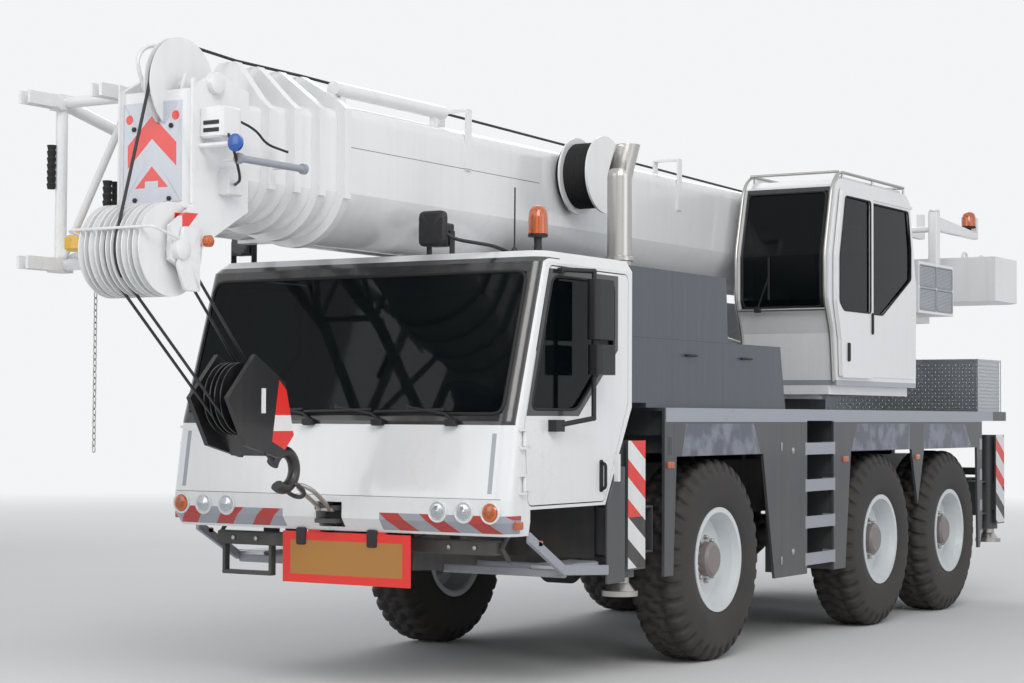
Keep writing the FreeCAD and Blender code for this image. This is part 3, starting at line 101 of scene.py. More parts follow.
def put(tree, kind, inputs=None, **settings):
    # one node: settings are its options, inputs are constants or sockets to link from
    node = tree.nodes.new(kind)
    for name, value in settings.items():
        setattr(node, name, value)
    for name, value in (inputs or {}).items():
        feed(node, name, value)
    return node


def calc(tree, operation, *values, clamp=False):
    return put(tree, "ShaderNodeMath", dict(enumerate(values)), operation=operation, use_clamp=clamp).outputs[0]


def blendColor(tree, factor, first, second):
    return put(tree, "ShaderNodeMix", {0: factor, 6: first, 7: second}, data_type="RGBA").outputs[2]


def blendValue(tree, factor, first, second):
    return put(tree, "ShaderNodeMix", {0: factor, 2: first, 3: second}, data_type="FLOAT").outputs[0]


def objectPlace(tree):
    return put(tree, "ShaderNodeTexCoord").outputs["Object"]


def vectorCalc(tree, operation, *values, out=0):
    return put(tree, "ShaderNodeVectorMath", dict(enumerate(values)), operation=operation).outputs[out]


def noise(tree, scale, detail, place=None):
    place = objectPlace(tree) if place is None else place
    inputs = {"Vector": place, "Scale": scale, "Detail": detail}
    return put(tree, "ShaderNodeTexNoise", inputs).outputs[0]


def newGroup(name, inputs, outputs):
    group = bpy.data.node_groups.new(name, "ShaderNodeTree")
    for label, value in inputs.items():
        kind = "NodeSocketVector" if isinstance(value, tuple) else "NodeSocketFloat"
        socket = group.interface.new_socket(label, in_out="INPUT", socket_type=kind)
        socket.default_value = value
    for label in outputs:
        group.interface.new_socket(label, in_out="OUTPUT", socket_type="NodeSocketFloat")
    entry = group.nodes.new("NodeGroupInput")
    leave = group.nodes.new("NodeGroupOutput")
    return group, entry.outputs, leave.inputs


def useGroup(tree, group, inputs):
    return put(tree, "ShaderNodeGroup", inputs, node_tree=group).outputs[0]


# shared effects


def makeDustGroup():
    # road dust: strong at the ground, fading out at the top height, broken up by noise
    group, ins, outs = newGroup("roadDust", {"Top": 1.6, "Amount": 0.6, "Scale": 3.0}, ["Mask"])
    place = objectPlace(group)
    height = put(group, "ShaderNodeSeparateXYZ", {0: place}).outputs[2]
    fade = calc(group, "SUBTRACT", 1.0, calc(group, "DIVIDE", height, ins["Top"]), clamp=True)
    coarse = noise(group, ins["Scale"], 6.0, place)
    rough = calc(group, "MULTIPLY_ADD", coarse, 1.6, -0.3, clamp=True)
    mask = calc(group, "MULTIPLY", calc(group, "MULTIPLY", fade, rough), ins["Amount"], clamp=True)
    group.links.new(mask, outs[0])
    return group


def makeStreakGroup():
    # rain streaks: noise drawn out along the height
    group, ins, outs = newGroup("rainStreaks", {"Amount": 0.3, "Scale": 14.0}, ["Mask"])
    drawn = vectorCalc(group, "MULTIPLY", objectPlace(group), (1.0, 1.0, 0.07))
    strong = calc(group, "MULTIPLY_ADD", noise(group, ins["Scale"], 4.0, drawn), 3.2, -1.5, clamp=True)
    group.links.new(calc(group, "MULTIPLY", strong, ins["Amount"], clamp=True), outs[0])
    return group


def makeWearGroup():
    # scuffs: the narrow band of a noise where it crosses its middle, thinned by a second noise
    group, ins, outs = newGroup("scuffs", {"Amount": 0.4, "Scale": 9.0, "Width": 0.02}, ["Mask"])
    off = calc(group, "ABSOLUTE", calc(group, "SUBTRACT", noise(group, ins["Scale"], 8.0), 0.5))
    line = calc(group, "SUBTRACT", 1.0, calc(group, "DIVIDE", off, ins["Width"]), clamp=True)
    patch = calc(group, "MULTIPLY_ADD", noise(group, 1.7, 3.0), 5.0, -2.7, clamp=True)
    mask = calc(group, "MULTIPLY", calc(group, "MULTIPLY", line, patch), ins["Amount"], clamp=True)
    group.links.new(mask, outs[0])
    return group


def makeGrainGroup():
    # fine height for paint skin, cast metal or moulded plastic
    group, ins, outs = newGroup("fineGrain", {"Scale": 220.0, "Rough": 0.5}, ["Height"])
    grain = put(group, "ShaderNodeTexNoise", {
        "Vector": objectPlace(group), "Scale": ins["Scale"], "Roughness": ins["Rough"], "Detail": 3.0})
    group.links.new(grain.outputs[0], outs[0])
    return group


def makeBoxGroup():
    # one inside an upright box with corners Low and High, nought outside
    group, ins, outs = newGroup("boxArea", {"Low": (0.0, 0.0, 0.0), "High": (1.0, 1.0, 1.0)}, ["Mask"])
    place = objectPlace(group)
    fromLow = vectorCalc(group, "SUBTRACT", place, ins["Low"])
    toHigh = vectorCalc(group, "SUBTRACT", ins["High"], place)
    reaches = [reach for gap in (fromLow, toHigh) for reach in put(group, "ShaderNodeSeparateXYZ", {0: gap}).outputs]
    nearest = reaches[0]
    for reach in reaches[1:]:
        nearest = calc(group, "MINIMUM", nearest, reach)
    group.links.new(calc(group, "GREATER_THAN", nearest, 0.0), outs[0])
    return group


def makeStripeGroup():
    # slanted stripes: the share of each pitch along Across that is coloured, leaning with Up by Slope
    group, ins, outs = newGroup(
        "slantStripes", {"Across": 0.0, "Up": 0.0, "Slope": 1.0, "Pitch": 0.3, "Share": 0.5, "Start": 0.0}, ["Mask"])
    lean = calc(group, "MULTIPLY_ADD", ins["Up"], ins["Slope"], ins["Across"])
    turns = calc(group, "DIVIDE", calc(group, "SUBTRACT", lean, ins["Start"]), ins["Pitch"])
    group.links.new(calc(group, "LESS_THAN", calc(group, "FRACT", turns), ins["Share"]), outs[0])
    return group


dustGroup = makeDustGroup()
streakGroup = makeStreakGroup()
wearGroup = makeWearGroup()
grainGroup = makeGrainGroup()
boxGroup = makeBoxGroup()
stripeGroup = makeStripeGroup()


ownShift = 0.905


def own(x, y, z):
    # millimetres in the crane's own frame to metres in the row frame
    return (x / 1000 + ownShift, y / 1000, z / 1000)


def coordinate(tree, axis):
    return put(tree, "ShaderNodeSeparateXYZ", {0: objectPlace(tree)}).outputs["xyz".index(axis)]


# mask makers: each gives a function of the material's tree, one inside the mark and nought outside


def inBox(x, y, z):
    low, high = own(x[0], y[0], z[0]), own(x[1], y[1], z[1])
    return lambda tree: useGroup(tree, boxGroup, {"Low": low, "High": high})


def combined(operation, makers):
    def mask(tree):
        result = makers[0](tree)
        for maker in makers[1:]:
            result = calc(tree, operation, result, maker(tree))
        return result
    return mask


def anyOf(*makers):
    return combined("MAXIMUM", makers)


def allOf(*makers):
    return combined("MULTIPLY", makers)


def outside(maker):
    return lambda tree: calc(tree, "SUBTRACT", 1.0, maker(tree))


def bothSides(x, y, z):
    return anyOf(inBox(x, y, z), inBox(x, (-y[1], -y[0]), z))


def inOutline(axes, points):
    # inside a convex outline, where the nearest of its edges' lines is still on the inner side
    flat = [own(*(p[axes.index(a)] if a in axes else 0.0 for a in "xyz")) for p in points]
    flat = [tuple(p["xyz".index(a)] for a in axes) for p in flat]
    pairs = list(zip(flat, flat[1:] + flat[:1]))
    sign = 1.0 if sum(a[0] * b[1] - b[0] * a[1] for a, b in pairs) > 0 else -1.0

    def mask(tree):
        u, v = coordinate(tree, axes[0]), coordinate(tree, axes[1])
        nearest = None
        for a, b in pairs:
            across, up = -sign * (b[1] - a[1]), sign * (b[0] - a[0])
            rest = calc(tree, "MULTIPLY_ADD", v, up, -(across * a[0] + up * a[1]))
            reach = calc(tree, "MULTIPLY_ADD", u, across, rest)
            nearest = reach if nearest is None else calc(tree, "MINIMUM", nearest, reach)
        return calc(tree, "GREATER_THAN", nearest, 0.0)
    return mask


def inStripes(across, up, slope, pitch, share, start):
    return lambda tree: useGroup(tree, stripeGroup, {
        "Across": coordinate(tree, across), "Up": coordinate(tree, up), "Slope": slope,
        "Pitch": pitch, "Share": share, "Start": start})


def inRoof(middle, slope, low, high):
    # a chevron on an x face: height plus slope times the distance from the middle lies between two values
    def mask(tree):
        off = calc(tree, "ABSOLUTE", calc(tree, "SUBTRACT", coordinate(tree, "y"), middle))
        height = calc(tree, "MULTIPLY_ADD", off, slope, coordinate(tree, "z"))
        return calc(tree, "MULTIPLY", calc(tree, "GREATER_THAN", height, low), calc(tree, "LESS_THAN", height, high))
    return mask


def inDisc(axis, centre, radius):
    # nearer than the radius to a line along the axis
    flatten = tuple(0.0 if a == axis else 1.0 for a in "xyz")
    middle = tuple(f * c for f, c in zip(flatten, own(*centre)))

    def mask(tree):
        flat = vectorCalc(tree, "MULTIPLY", objectPlace(tree), flatten)
        return calc(tree, "LESS_THAN", vectorCalc(tree, "DISTANCE", flat, middle, out="Value"), radius / 1000)
    return mask


def mottled(scale, low, high):
    # worn patches: a noise stretched so that low becomes nought and high one
    def mask(tree):
        above = calc(tree, "SUBTRACT", noise(tree, scale, 7.0), low)
        return calc(tree, "MULTIPLY", above, 1 / (high - low), clamp=True)
    return mask


def newMaterial(name):
    material = bpy.data.materials.new(name)
    material.use_nodes = True
    return material, material.node_tree, material.node_tree.nodes["Principled BSDF"]


def addBump(tree, shader, height, strength, distance):
    bump = put(tree, "ShaderNodeBump", {"Strength": strength, "Distance": distance, "Height": height})
    tree.links.new(bump.outputs[0], shader.inputs["Normal"])


# colours in linear light, each with a full alpha
colors = {name: (*shade, 1.0) for name, shade in {
    "white": (0.80, 0.81, 0.82),
    "slate": (0.047, 0.053, 0.062),
    "frameGrey": (0.04, 0.043, 0.048),
    "dust": (0.30, 0.26, 0.21),
    "soot": (0.03, 0.03, 0.032),
    "black": (0.012, 0.012, 0.014),
    "stripeGrey": (0.33, 0.35, 0.40),
    "signAmber": (0.42, 0.19, 0.035),
    "steel": (0.50, 0.49, 0.47),
    "aluminium": (0.55, 0.57, 0.60),
    "rubber": (0.022, 0.020, 0.020),
    "stripeRed": (0.46, 0.022, 0.018),
    "signRed": (0.80, 0.025, 0.018),
    "shadowGrey": (0.22, 0.23, 0.25),
    "plateGrey": (0.58, 0.61, 0.68),
    "stepGrey": (0.33, 0.35, 0.40),
    "blueGrey": (0.075, 0.088, 0.125),
    "wornBlue": (0.19, 0.21, 0.27),
    "hoodGrey": (0.052, 0.062, 0.082),
    "rimWhite": (0.70, 0.74, 0.76),
    "hubGrey": (0.20, 0.17, 0.17),
    "glassTint": (0.035, 0.052, 0.06),
    "amber": (0.85, 0.16, 0.015),
    "lampRed": (0.55, 0.012, 0.012),
    "blue": (0.012, 0.10, 0.42),
    "yellow": (0.72, 0.42, 0.02),
    "chrome": (0.75, 0.75, 0.77),
    "rope": (0.05, 0.048, 0.046),
    "clear": (0.80, 0.83, 0.86),
    "cabin": (0.045, 0.045, 0.05),
    "plastic": (0.014, 0.014, 0.016),
    "seal": (0.012, 0.012, 0.012),
    "tyreShade": (0.014, 0.013, 0.013),
    "tyreDust": (0.085, 0.072, 0.062),
}.items()}


def dimmed(color, share):
    return (*(share * c for c in color[:3]), 1.0)


def paintFinish(name, base, marks=(), dustTop=1.6, dust=0.5, streaks=0.12, scuffs=0.25, roughness=0.28, coat=0.6):
    # sprayed paint: base colour with painted marks, then streaks, scuffs and dust; dust also dulls the gloss
    material, tree, shader = newMaterial(name)
    color = colors[base]
    for makeMask, markColor in marks:
        color = blendColor(tree, makeMask(tree), color, colors[markColor])
    streakMask = useGroup(tree, streakGroup, {"Amount": streaks})
    color = blendColor(tree, streakMask, color, colors["dust"])
    scuffMask = useGroup(tree, wearGroup, {"Amount": scuffs})
    color = blendColor(tree, scuffMask, color, colors["soot"])
    dustMask = useGroup(tree, dustGroup, {"Top": dustTop, "Amount": dust})
    color = blendColor(tree, dustMask, color, colors["dust"])
    feed(shader, "Base Color", color)
    feed(shader, "Roughness", blendValue(tree, dustMask, roughness, 0.85))
    feed(shader, "Coat Weight", calc(tree, "MULTIPLY", calc(tree, "SUBTRACT", 1.0, dustMask), coat))
    shader.inputs["Coat Roughness"].default_value = 0.08
    addBump(tree, shader, useGroup(tree, grainGroup, {"Scale": 260.0}), 0.06, 0.001)
    return material


def assign(material, *nodeNames):
    for name in nodeNames:
        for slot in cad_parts[name].material_slots:
            slot.material = material


def metalFinish(name, base, roughness=0.35, metallic=1.0, dust=0.2, dustTop=2.0, brushed=40.0):
    # bare metal with brushed lines along x, dulled by dust
    material, tree, shader = newMaterial(name)
    lines = noise(tree, 6.0, 5.0, vectorCalc(tree, "MULTIPLY", objectPlace(tree), (1.0, brushed, brushed)))
    dustMask = useGroup(tree, dustGroup, {"Top": dustTop, "Amount": dust})
    shade = blendColor(tree, lines, dimmed(colors[base], 0.8), colors[base])
    feed(shader, "Base Color", blendColor(tree, dustMask, shade, colors["dust"]))
    feed(shader, "Roughness", calc(tree, "MULTIPLY_ADD", lines, 0.25, roughness - 0.1, clamp=True))
    feed(shader, "Metallic", calc(tree, "MULTIPLY", calc(tree, "SUBTRACT", 1.0, dustMask), metallic))
    addBump(tree, shader, lines, 0.08, 0.0006)
    return material


def plasticFinish(name, base, roughness=0.55, grain=420.0):
    material, tree, shader = newMaterial(name)
    mottle = noise(tree, 4.0, 5.0)
    feed(shader, "Base Color", blendColor(tree, mottle, dimmed(colors[base], 0.7), colors[base]))
    feed(shader, "Roughness", calc(tree, "MULTIPLY_ADD", mottle, 0.2, roughness - 0.1, clamp=True))
    addBump(tree, shader, useGroup(tree, grainGroup, {"Scale": grain}), 0.35, 0.0012)
    return material


def glassFinish(name, tint, roughness=0.015):
    material, tree, shader = newMaterial(name)
    smear = noise(tree, 2.2, 6.0)
    feed(shader, "Base Color", blendColor(tree, smear, dimmed(colors[tint], 0.9), colors[tint]))
    feed(shader, "Roughness", calc(tree, "MULTIPLY_ADD", smear, 0.05, roughness, clamp=True))
    shader.inputs["Transmission Weight"].default_value = 0.92
    shader.inputs["IOR"].default_value = 1.12
    shader.inputs["Specular IOR Level"].default_value = 0.5
    shader.inputs["Coat Weight"].default_value = 0.15
    return material


def lensFinish(name, tint):
    # moulded lens: clear coat over a tinted body with fine ribs
    material, tree, shader = newMaterial(name)
    ribs = put(tree, "ShaderNodeTexWave", {"Vector": objectPlace(tree), "Scale": 30.0, "Distortion": 0.3}).outputs[1]
    feed(shader, "Base Color", blendColor(tree, ribs, dimmed(colors[tint], 0.55), colors[tint]))
    feed(shader, "Roughness", calc(tree, "MULTIPLY_ADD", ribs, 0.1, 0.12, clamp=True))
    shader.inputs["Transmission Weight"].default_value = 0.25
    shader.inputs["Coat Weight"].default_value = 0.8
    shader.inputs["Coat Roughness"].default_value = 0.03
    addBump(tree, shader, ribs, 0.4, 0.002)
    return material


# studio

studio = {
    "floorSize": 70.0,
    "floorShade": (0.78, 0.78, 0.78, 1.0),
    "fadeStart": 12.0,
    "fadeEnd": 30.0,
    "backShade": (0.90, 0.91, 0.92, 1.0),
    "skyShade": (0.93, 0.96, 1.0, 1.0),
    "worldStrength": 0.50,
    "lamps": (  # place, aim, size, power, colour
        ((14.0, 10.0, 13.0), (0.0, 0.0, 1.5), 9.0, 1500.0, (1.0, 0.98, 0.95)),
        ((2.0, 18.0, 7.0), (-1.0, 0.0, 1.5), 10.0, 480.0, (0.97, 0.98, 1.0)),
        ((-14.0, -8.0, 11.0), (0.0, 0.0, 2.0), 10.0, 560.0, (0.97, 0.98, 1.0)),
        ((16.0, -6.0, 7.0), (2.0, 0.0, 1.5), 8.0, 320.0, (1.0, 1.0, 1.0)),
    ),
}


def makeStudio(setup):
    size = setup["floorSize"]
    corners = np.array([(-1, -1, 0), (1, -1, 0), (1, 1, 0), (-1, 1, 0)], dtype=float) * size
    mesh = bpy.data.meshes.new("studioFloor")
    mesh.from_pydata(corners.tolist(), [], [(0, 1, 2, 3)])
    floor = bpy.data.objects.new("studioFloor", mesh)
    scene.collection.objects.link(floor)
    material, tree, shader = newMaterial("floorSurface")
    place = objectPlace(tree)
    shade = blendColor(tree, noise(tree, 0.6, 6.0, place), dimmed(setup["floorShade"], 0.96), setup["floorShade"])
    feed(shader, "Base Color", shade)
    shader.inputs["Roughness"].default_value = 0.9
    # far from the crane the floor gives way to the backdrop's own shade, so that no horizon shows
    far = vectorCalc(tree, "LENGTH", place, out="Value")
    fadeSpan = setup["fadeEnd"] - setup["fadeStart"]
    fade = calc(tree, "MULTIPLY_ADD", far, 1 / fadeSpan, -setup["fadeStart"] / fadeSpan, clamp=True)
    glow = put(tree, "ShaderNodeEmission", {"Color": setup["backShade"], "Strength": 1.0})
    share = calc(tree, "MULTIPLY", fade, put(tree, "ShaderNodeLightPath").outputs["Is Camera Ray"])
    both = put(tree, "ShaderNodeMixShader", {0: share, 1: shader.outputs[0], 2: glow.outputs[0]})
    tree.links.new(both.outputs[0], tree.nodes["Material Output"].inputs["Surface"])
    mesh.materials.append(material)
    world = bpy.data.worlds.new("studioWorld")
    scene.world = world
    world.use_nodes = True
    tree = world.node_tree
    background = tree.nodes["Background"]
    rays = put(tree, "ShaderNodeLightPath").outputs
    mirroredRay = calc(tree, "MAXIMUM", rays["Is Glossy Ray"], rays["Is Transmission Ray"])
    seen = calc(tree, "MAXIMUM", rays["Is Camera Ray"], mirroredRay)
    feed(background, "Color", blendColor(tree, seen, setup["skyShade"], setup["backShade"]))
    feed(background, "Strength", blendValue(tree, seen, setup["worldStrength"], 1.0))
    for number, (spot, aim, width, power, tint) in enumerate(setup["lamps"]):
        data = bpy.data.lights.new(f"softLamp{number}", "AREA")
        data.energy = power
        data.size = width
        data.color = tint
        lamp = bpy.data.objects.new(f"softLamp{number}", data)
        lamp.location = spot
        lamp.rotation_euler = (Vector(aim) - Vector(spot)).to_track_quat("-Z", "Y").to_euler()
        scene.collection.objects.link(lamp)


makeStudio(studio)
scene.view_settings.view_transform = "Standard"
print("studio ready")


# mesh helpers; places are millimetres in the crane's own frame,
# whose origin lies ownShift metres ahead of the row frame's


def meshObject(name, verts, faces, body, material, smooth=True):
    # verts is an (n, 3) array in metres and faces an (m, 3) or (m, 4) array, wound outwards
    verts = np.ascontiguousarray(verts, dtype=np.float32)
    faces = np.ascontiguousarray(faces, dtype=np.int32)
    count, width = faces.shape
    mesh = bpy.data.meshes.new(name)
    mesh.vertices.add(len(verts))
    mesh.vertices.foreach_set("co", verts.ravel())
    mesh.loops.add(count * width)
    mesh.loops.foreach_set("vertex_index", faces.ravel())
    mesh.polygons.add(count)
    mesh.polygons.foreach_set("loop_start", np.arange(0, count * width, width, dtype=np.int32))
    mesh.polygons.foreach_set("use_smooth", np.full(count, smooth))
    mesh.materials.append(material)
    mesh.update(calc_edges=True)
    mesh.validate()
    piece = bpy.data.objects.new(name, mesh)
    scene.collection.objects.link(piece)
    if body:
        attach(piece, body)
    return piece


def makePiece(name, parts, body, material, crease=0.7):
    # several closed forms in millimetres as one piece; edges sharper than crease stay sharp
    verts, faces = joined(parts)
    piece = meshObject(name, verts / 1000 + (ownShift, 0.0, 0.0), faces, body, material)
    piece.data.set_sharp_from_angle(angle=crease)
    return piece


def gridFaces(rows, columns, closeRows=False, closeColumns=False):
    # quads between neighbouring points of a rows by columns grid, row after row
    r = np.arange(rows if closeRows else rows - 1)
    c = np.arange(columns if closeColumns else columns - 1)
    rr, cc = np.meshgrid(r, c, indexing="ij")
    r2, c2 = (rr + 1) % rows, (cc + 1) % columns
    quads = np.stack([rr * columns + cc, r2 * columns + cc, r2 * columns + c2, rr * columns + c2], axis=-1)
    return quads.reshape(-1, 4)


def triangles(quads):
    return np.concatenate([quads[:, [0, 1, 2]], quads[:, [0, 2, 3]]])


def outward(verts, faces):
    # a closed form's volume, summed as a . (b x c) over its faces, tells which way they are wound
    a, b, c = (verts[faces[:, i]] for i in range(3))
    return verts, (faces if np.einsum("ij,ij->", a, np.cross(b, c)) > 0 else faces[:, ::-1])


def capped(rings):
    # levels of rings as a skin, with a fan of triangles to the middle of the first and the last
    levels, count = rings.shape[:2]
    around = np.arange(count)
    ahead = (around + 1) % count
    last = (levels - 1) * count
    foot = np.column_stack([np.full(count, levels * count), around, ahead])
    head = np.column_stack([np.full(count, levels * count + 1), last + ahead, last + around])
    verts = np.concatenate([rings.reshape(-1, 3), rings[[0, -1]].mean(axis=1)])
    return outward(verts, np.concatenate([triangles(gridFaces(levels, count, closeColumns=True)), foot, head]))


def roundedPath(points, radius, closed=False, steps=4):
    # each corner c becomes (1-t)^2 a + 2t(1-t) c + t^2 b, with a and b on its sides at the radius
    points = np.asarray(points, dtype=float)

    def towards(other):
        way = other - points
        size = np.linalg.norm(way, axis=1, keepdims=True) + 1e-9
        return points + way / size * np.minimum(radius, size * 0.49)

    t = np.linspace(0.0, 1.0, steps)[None, :, None]
    start = towards(np.roll(points, 1, axis=0))[:, None]
    end = towards(np.roll(points, -1, axis=0))[:, None]
    curve = (1 - t) ** 2 * start + 2 * t * (1 - t) * points[:, None] + t ** 2 * end
    if closed:
        return curve.reshape(-1, points.shape[1])
    return np.concatenate([points[:1], curve[1:-1].reshape(-1, points.shape[1]), points[-1:]])


planeAxes = {"x": (1, 2), "y": (0, 2), "z": (0, 1)}


def prism(outline, axis, span, bevel=4.0, corner=6.0):
    # an outline carried along one axis; the first and last level are drawn in by the bevel
    flat = roundedPath(outline, corner, closed=True)
    low, high = flat.min(axis=0), flat.max(axis=0)
    middle, half = (low + high) / 2, (high - low) / 2
    start, end = min(span), max(span)
    bevel = min(bevel, (end - start) / 3)
    drawn = middle + (flat - middle) * (1 - np.minimum(bevel / half, 0.5))
    rings = np.zeros((4, len(flat), 3))
    rings[:, :, list(planeAxes[axis])] = np.stack([drawn, flat, flat, drawn])
    rings[:, :, "xyz".index(axis)] = np.array([start, start + bevel, end - bevel, end])[:, None]
    return capped(rings)


def slab(x, y, z, bevel=4.0, corner=6.0, axis="z"):
    # a rounded and bevelled bar between two corners
    spans = (x, y, z)
    u, v = (spans[i] for i in planeAxes[axis])
    outline = [(u[0], v[0]), (u[1], v[0]), (u[1], v[1]), (u[0], v[1])]
    return prism(outline, axis, spans["xyz".index(axis)], bevel, corner)


def tube(path, radius, sides=10, closed=False):
    # point = path + radius (cos a m + sin a n), with m and n square to the path and m in its flattest plane
    path = np.asarray(path, dtype=float)
    ahead = np.roll(path, -1, axis=0) - np.roll(path, 1, axis=0) if closed else np.gradient(path, axis=0)
    ahead /= np.linalg.norm(ahead, axis=1, keepdims=True)
    aside = np.eye(3)[np.argmin(np.ptp(path, axis=0))]
    first = np.cross(ahead, aside)
    first /= np.linalg.norm(first, axis=1, keepdims=True)
    second = np.cross(ahead, first)
    turn = (np.arange(sides) * 2 * np.pi / sides)[None, :, None]
    rings = path[:, None] + radius * (np.cos(turn) * first[:, None] + np.sin(turn) * second[:, None])
    if closed:
        return outward(rings.reshape(-1, 3), triangles(gridFaces(len(path), sides, True, True)))
    return capped(rings)


def lathe(profile, centre, axis="x", sides=28):
    # a profile of (distance along the axis, radius) turned about the axis
    along, radius = np.asarray(profile, dtype=float).T
    turn = np.arange(sides) * 2 * np.pi / sides
    rings = np.zeros((len(along), sides, 3))
    u, v = planeAxes[axis]
    rings[..., "xyz".index(axis)] = along[:, None]
    rings[..., u] = radius[:, None] * np.cos(turn)
    rings[..., v] = radius[:, None] * np.sin(turn)
    return capped(rings + np.asarray(centre, dtype=float))


def joined(parts):
    # several (verts, faces) pairs as one
    sizes = np.cumsum([0] + [len(v) for v, f in parts])
    return np.concatenate([v for v, f in parts]), np.concatenate([f + s for (v, f), s in zip(parts, sizes)])


def repeated(form, places):
    # copies of one small form, moved by each row of places
    verts, faces = form
    places = np.asarray(places, dtype=float)
    moved = (verts[None] + places[:, None]).reshape(-1, 3)
    shift = (np.arange(len(places)) * len(verts))[:, None, None]
    return moved, (faces[None] + shift).reshape(-1, faces.shape[1])


def mirrored(form):
    # the same form on the other side of the crane, wound outwards again
    verts, faces = form
    return verts * (1, -1, 1), faces[:, ::-1]


def rowOf(start, step, count):
    return np.asarray(start, dtype=float) + np.arange(count)[:, None] * np.asarray(step, dtype=float)


# tyres: angle round the axle by way across the section; lugs sink the grooves below the crown

tyreShape = {
    "turns": 576,
    "lugs": 36,
    "depth": 0.023,
    "section": (  # from the outer face inwards, radius
        (0.046, 0.322), (0.030, 0.331), (0.016, 0.356), (0.005, 0.395), (0.001, 0.44), (0.0, 0.50), (0.002, 0.56),
        (0.007, 0.600), (0.018, 0.633), (0.032, 0.660), (0.048, 0.678), (0.070, 0.684), (0.110, 0.685), (0.1875, 0.685),
    ),
    "across": 46,
    "handed": 0.25,  # how far each side's lugs are shifted, as a share of the pitch
    "outerLug": {"lean": 2.2, "rise": (0.02, 0.10), "fall": (0.62, 0.70)},
    "innerLug": {"lean": -3.0, "rise": (0.03, 0.10), "fall": (0.78, 0.86), "shift": 0.5, "handed": 1.4},
    "zigzag": (0.058, 0.010),  # the groove's way from the middle, and how far it wanders
    "grooveEdge": (0.004, 0.010),
    "innerEdge": (0.056, 0.062),
    "treadEdge": (0.585, 0.63),
}


def tyreMaterial():
    material, tree, shader = newMaterial("tyreRubber")
    dustMask = useGroup(tree, dustGroup, {"Top": 2.2, "Amount": 0.55, "Scale": 6.0})
    base = blendColor(tree, noise(tree, 30.0, 6.0), colors["tyreShade"], colors["rubber"])
    feed(shader, "Base Color", blendColor(tree, dustMask, base, colors["tyreDust"]))
    feed(shader, "Roughness", blendValue(tree, dustMask, 0.62, 0.92))
    addBump(tree, shader, useGroup(tree, grainGroup, {"Scale": 160.0}), 0.25, 0.0015)
    return material


def smoothStep(value, low, high):
    t = np.clip((value - low) / (high - low), 0.0, 1.0)
    return t * t * (3.0 - 2.0 * t)


def lugTop(place, lug):
    # one on top of the lug and nought in the gap before and after it
    return smoothStep(place, *lug["rise"]) * (1 - smoothStep(place, *lug["fall"]))


def makeTyre(name, body, side, shape, material):
    low, high = (np.array(v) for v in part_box(name))
    centre = (low + high) / 2
    outer = high[1] if side > 0 else low[1]
    width = high[1] - low[1]
    half = np.array(shape["section"])
    full = np.concatenate([half, np.column_stack([width - half[-2::-1, 0], half[-2::-1, 1]])])
    # even steps along the section by arc length
    run = np.concatenate([[0.0], np.cumsum(np.hypot(*np.diff(full, axis=0).T))])
    s = np.linspace(0.0, run[-1], shape["across"])
    inward, radius = np.interp(s, run, full[:, 0]), np.interp(s, run, full[:, 1])
    angle = np.arange(shape["turns"]) * 2 * np.pi / shape["turns"]
    turn, inw = np.meshgrid(angle, inward, indexing="ij")
    rad = np.broadcast_to(radius, turn.shape)
    off = inw - width / 2
    phase = turn * shape["lugs"] / (2 * np.pi)
    handed = np.sign(off) * shape["handed"]
    farLug, nearLug = shape["outerLug"], shape["innerLug"]
    outerTop = lugTop(np.mod(phase + handed + farLug["lean"] * np.abs(off), 1.0), farLug)
    innerPlace = phase + nearLug["shift"] + handed * nearLug["handed"] + nearLug["lean"] * off
    innerTop = lugTop(np.mod(innerPlace, 1.0), nearLug)
    way, wander = shape["zigzag"]
    zigzag = way + wander * np.abs(np.mod(phase, 1.0) * 2 - 1)
    groove = smoothStep(np.abs(np.abs(off) - zigzag), *shape["grooveEdge"])
    middle = 1 - smoothStep(np.abs(off), *shape["innerEdge"])
    top = (outerTop * (1 - middle) + innerTop * middle) * groove
    sink = shape["depth"] * (1 - top) * smoothStep(rad, *shape["treadEdge"])
    # the groove sinks along the section's own normal
    dIn, dRad = np.gradient(inward), np.gradient(radius)
    size = np.hypot(dIn, dRad)
    normalIn, normalRad = -dRad / size, dIn / size
    inw = inw - sink * normalIn
    rad = rad - sink * normalRad
    y = outer - side * inw
    verts = np.stack([centre[0] + rad * np.cos(turn), y, centre[2] + rad * np.sin(turn)], axis=-1).reshape(-1, 3)
    faces = gridFaces(shape["turns"], shape["across"], closeRows=True, closeColumns=True)
    if side > 0:
        faces = faces[:, ::-1]
    piece = meshObject("detail_" + name, verts, faces, body, material)
    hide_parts(name)


# wheel nuts: hexagons on a circle, each a prism with a domed top

nutShape = {"count": 10, "circle": 0.148, "across": 0.036, "height": 0.030, "faceDepth": 0.1205}


def hexForm(radius, height, side, shoulder=0.8, tip=0.6):
    # rings of six points along the wheel's axis: foot, shoulder and a smaller top
    angle = np.arange(6) * np.pi / 3
    steps = ((0.0, radius), (height * shoulder, radius), (height, radius * tip))
    rings = [np.column_stack([r * np.cos(angle), np.full(6, side * h), r * np.sin(angle)]) for h, r in steps]
    return capped(np.stack(rings))


def makeNuts(axle, name, side, shape, material):
    low, high = (np.array(v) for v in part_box(f"tyre_{axle}_{name}"))
    centre = (low + high) / 2
    outer = high[1] if side > 0 else low[1]
    angle = (np.arange(shape["count"]) + 0.5) * 2 * np.pi / shape["count"]
    places = np.column_stack([
        centre[0] + shape["circle"] * np.cos(angle),
        np.full(shape["count"], outer - side * shape["faceDepth"]),
        centre[2] + shape["circle"] * np.sin(angle)])
    verts, faces = repeated(hexForm(shape["across"] / 2, shape["height"], side), places)
    piece = meshObject(f"wheelNuts_{axle}_{name}", verts, faces, f"wheel_{axle}_{name}", material, smooth=False)


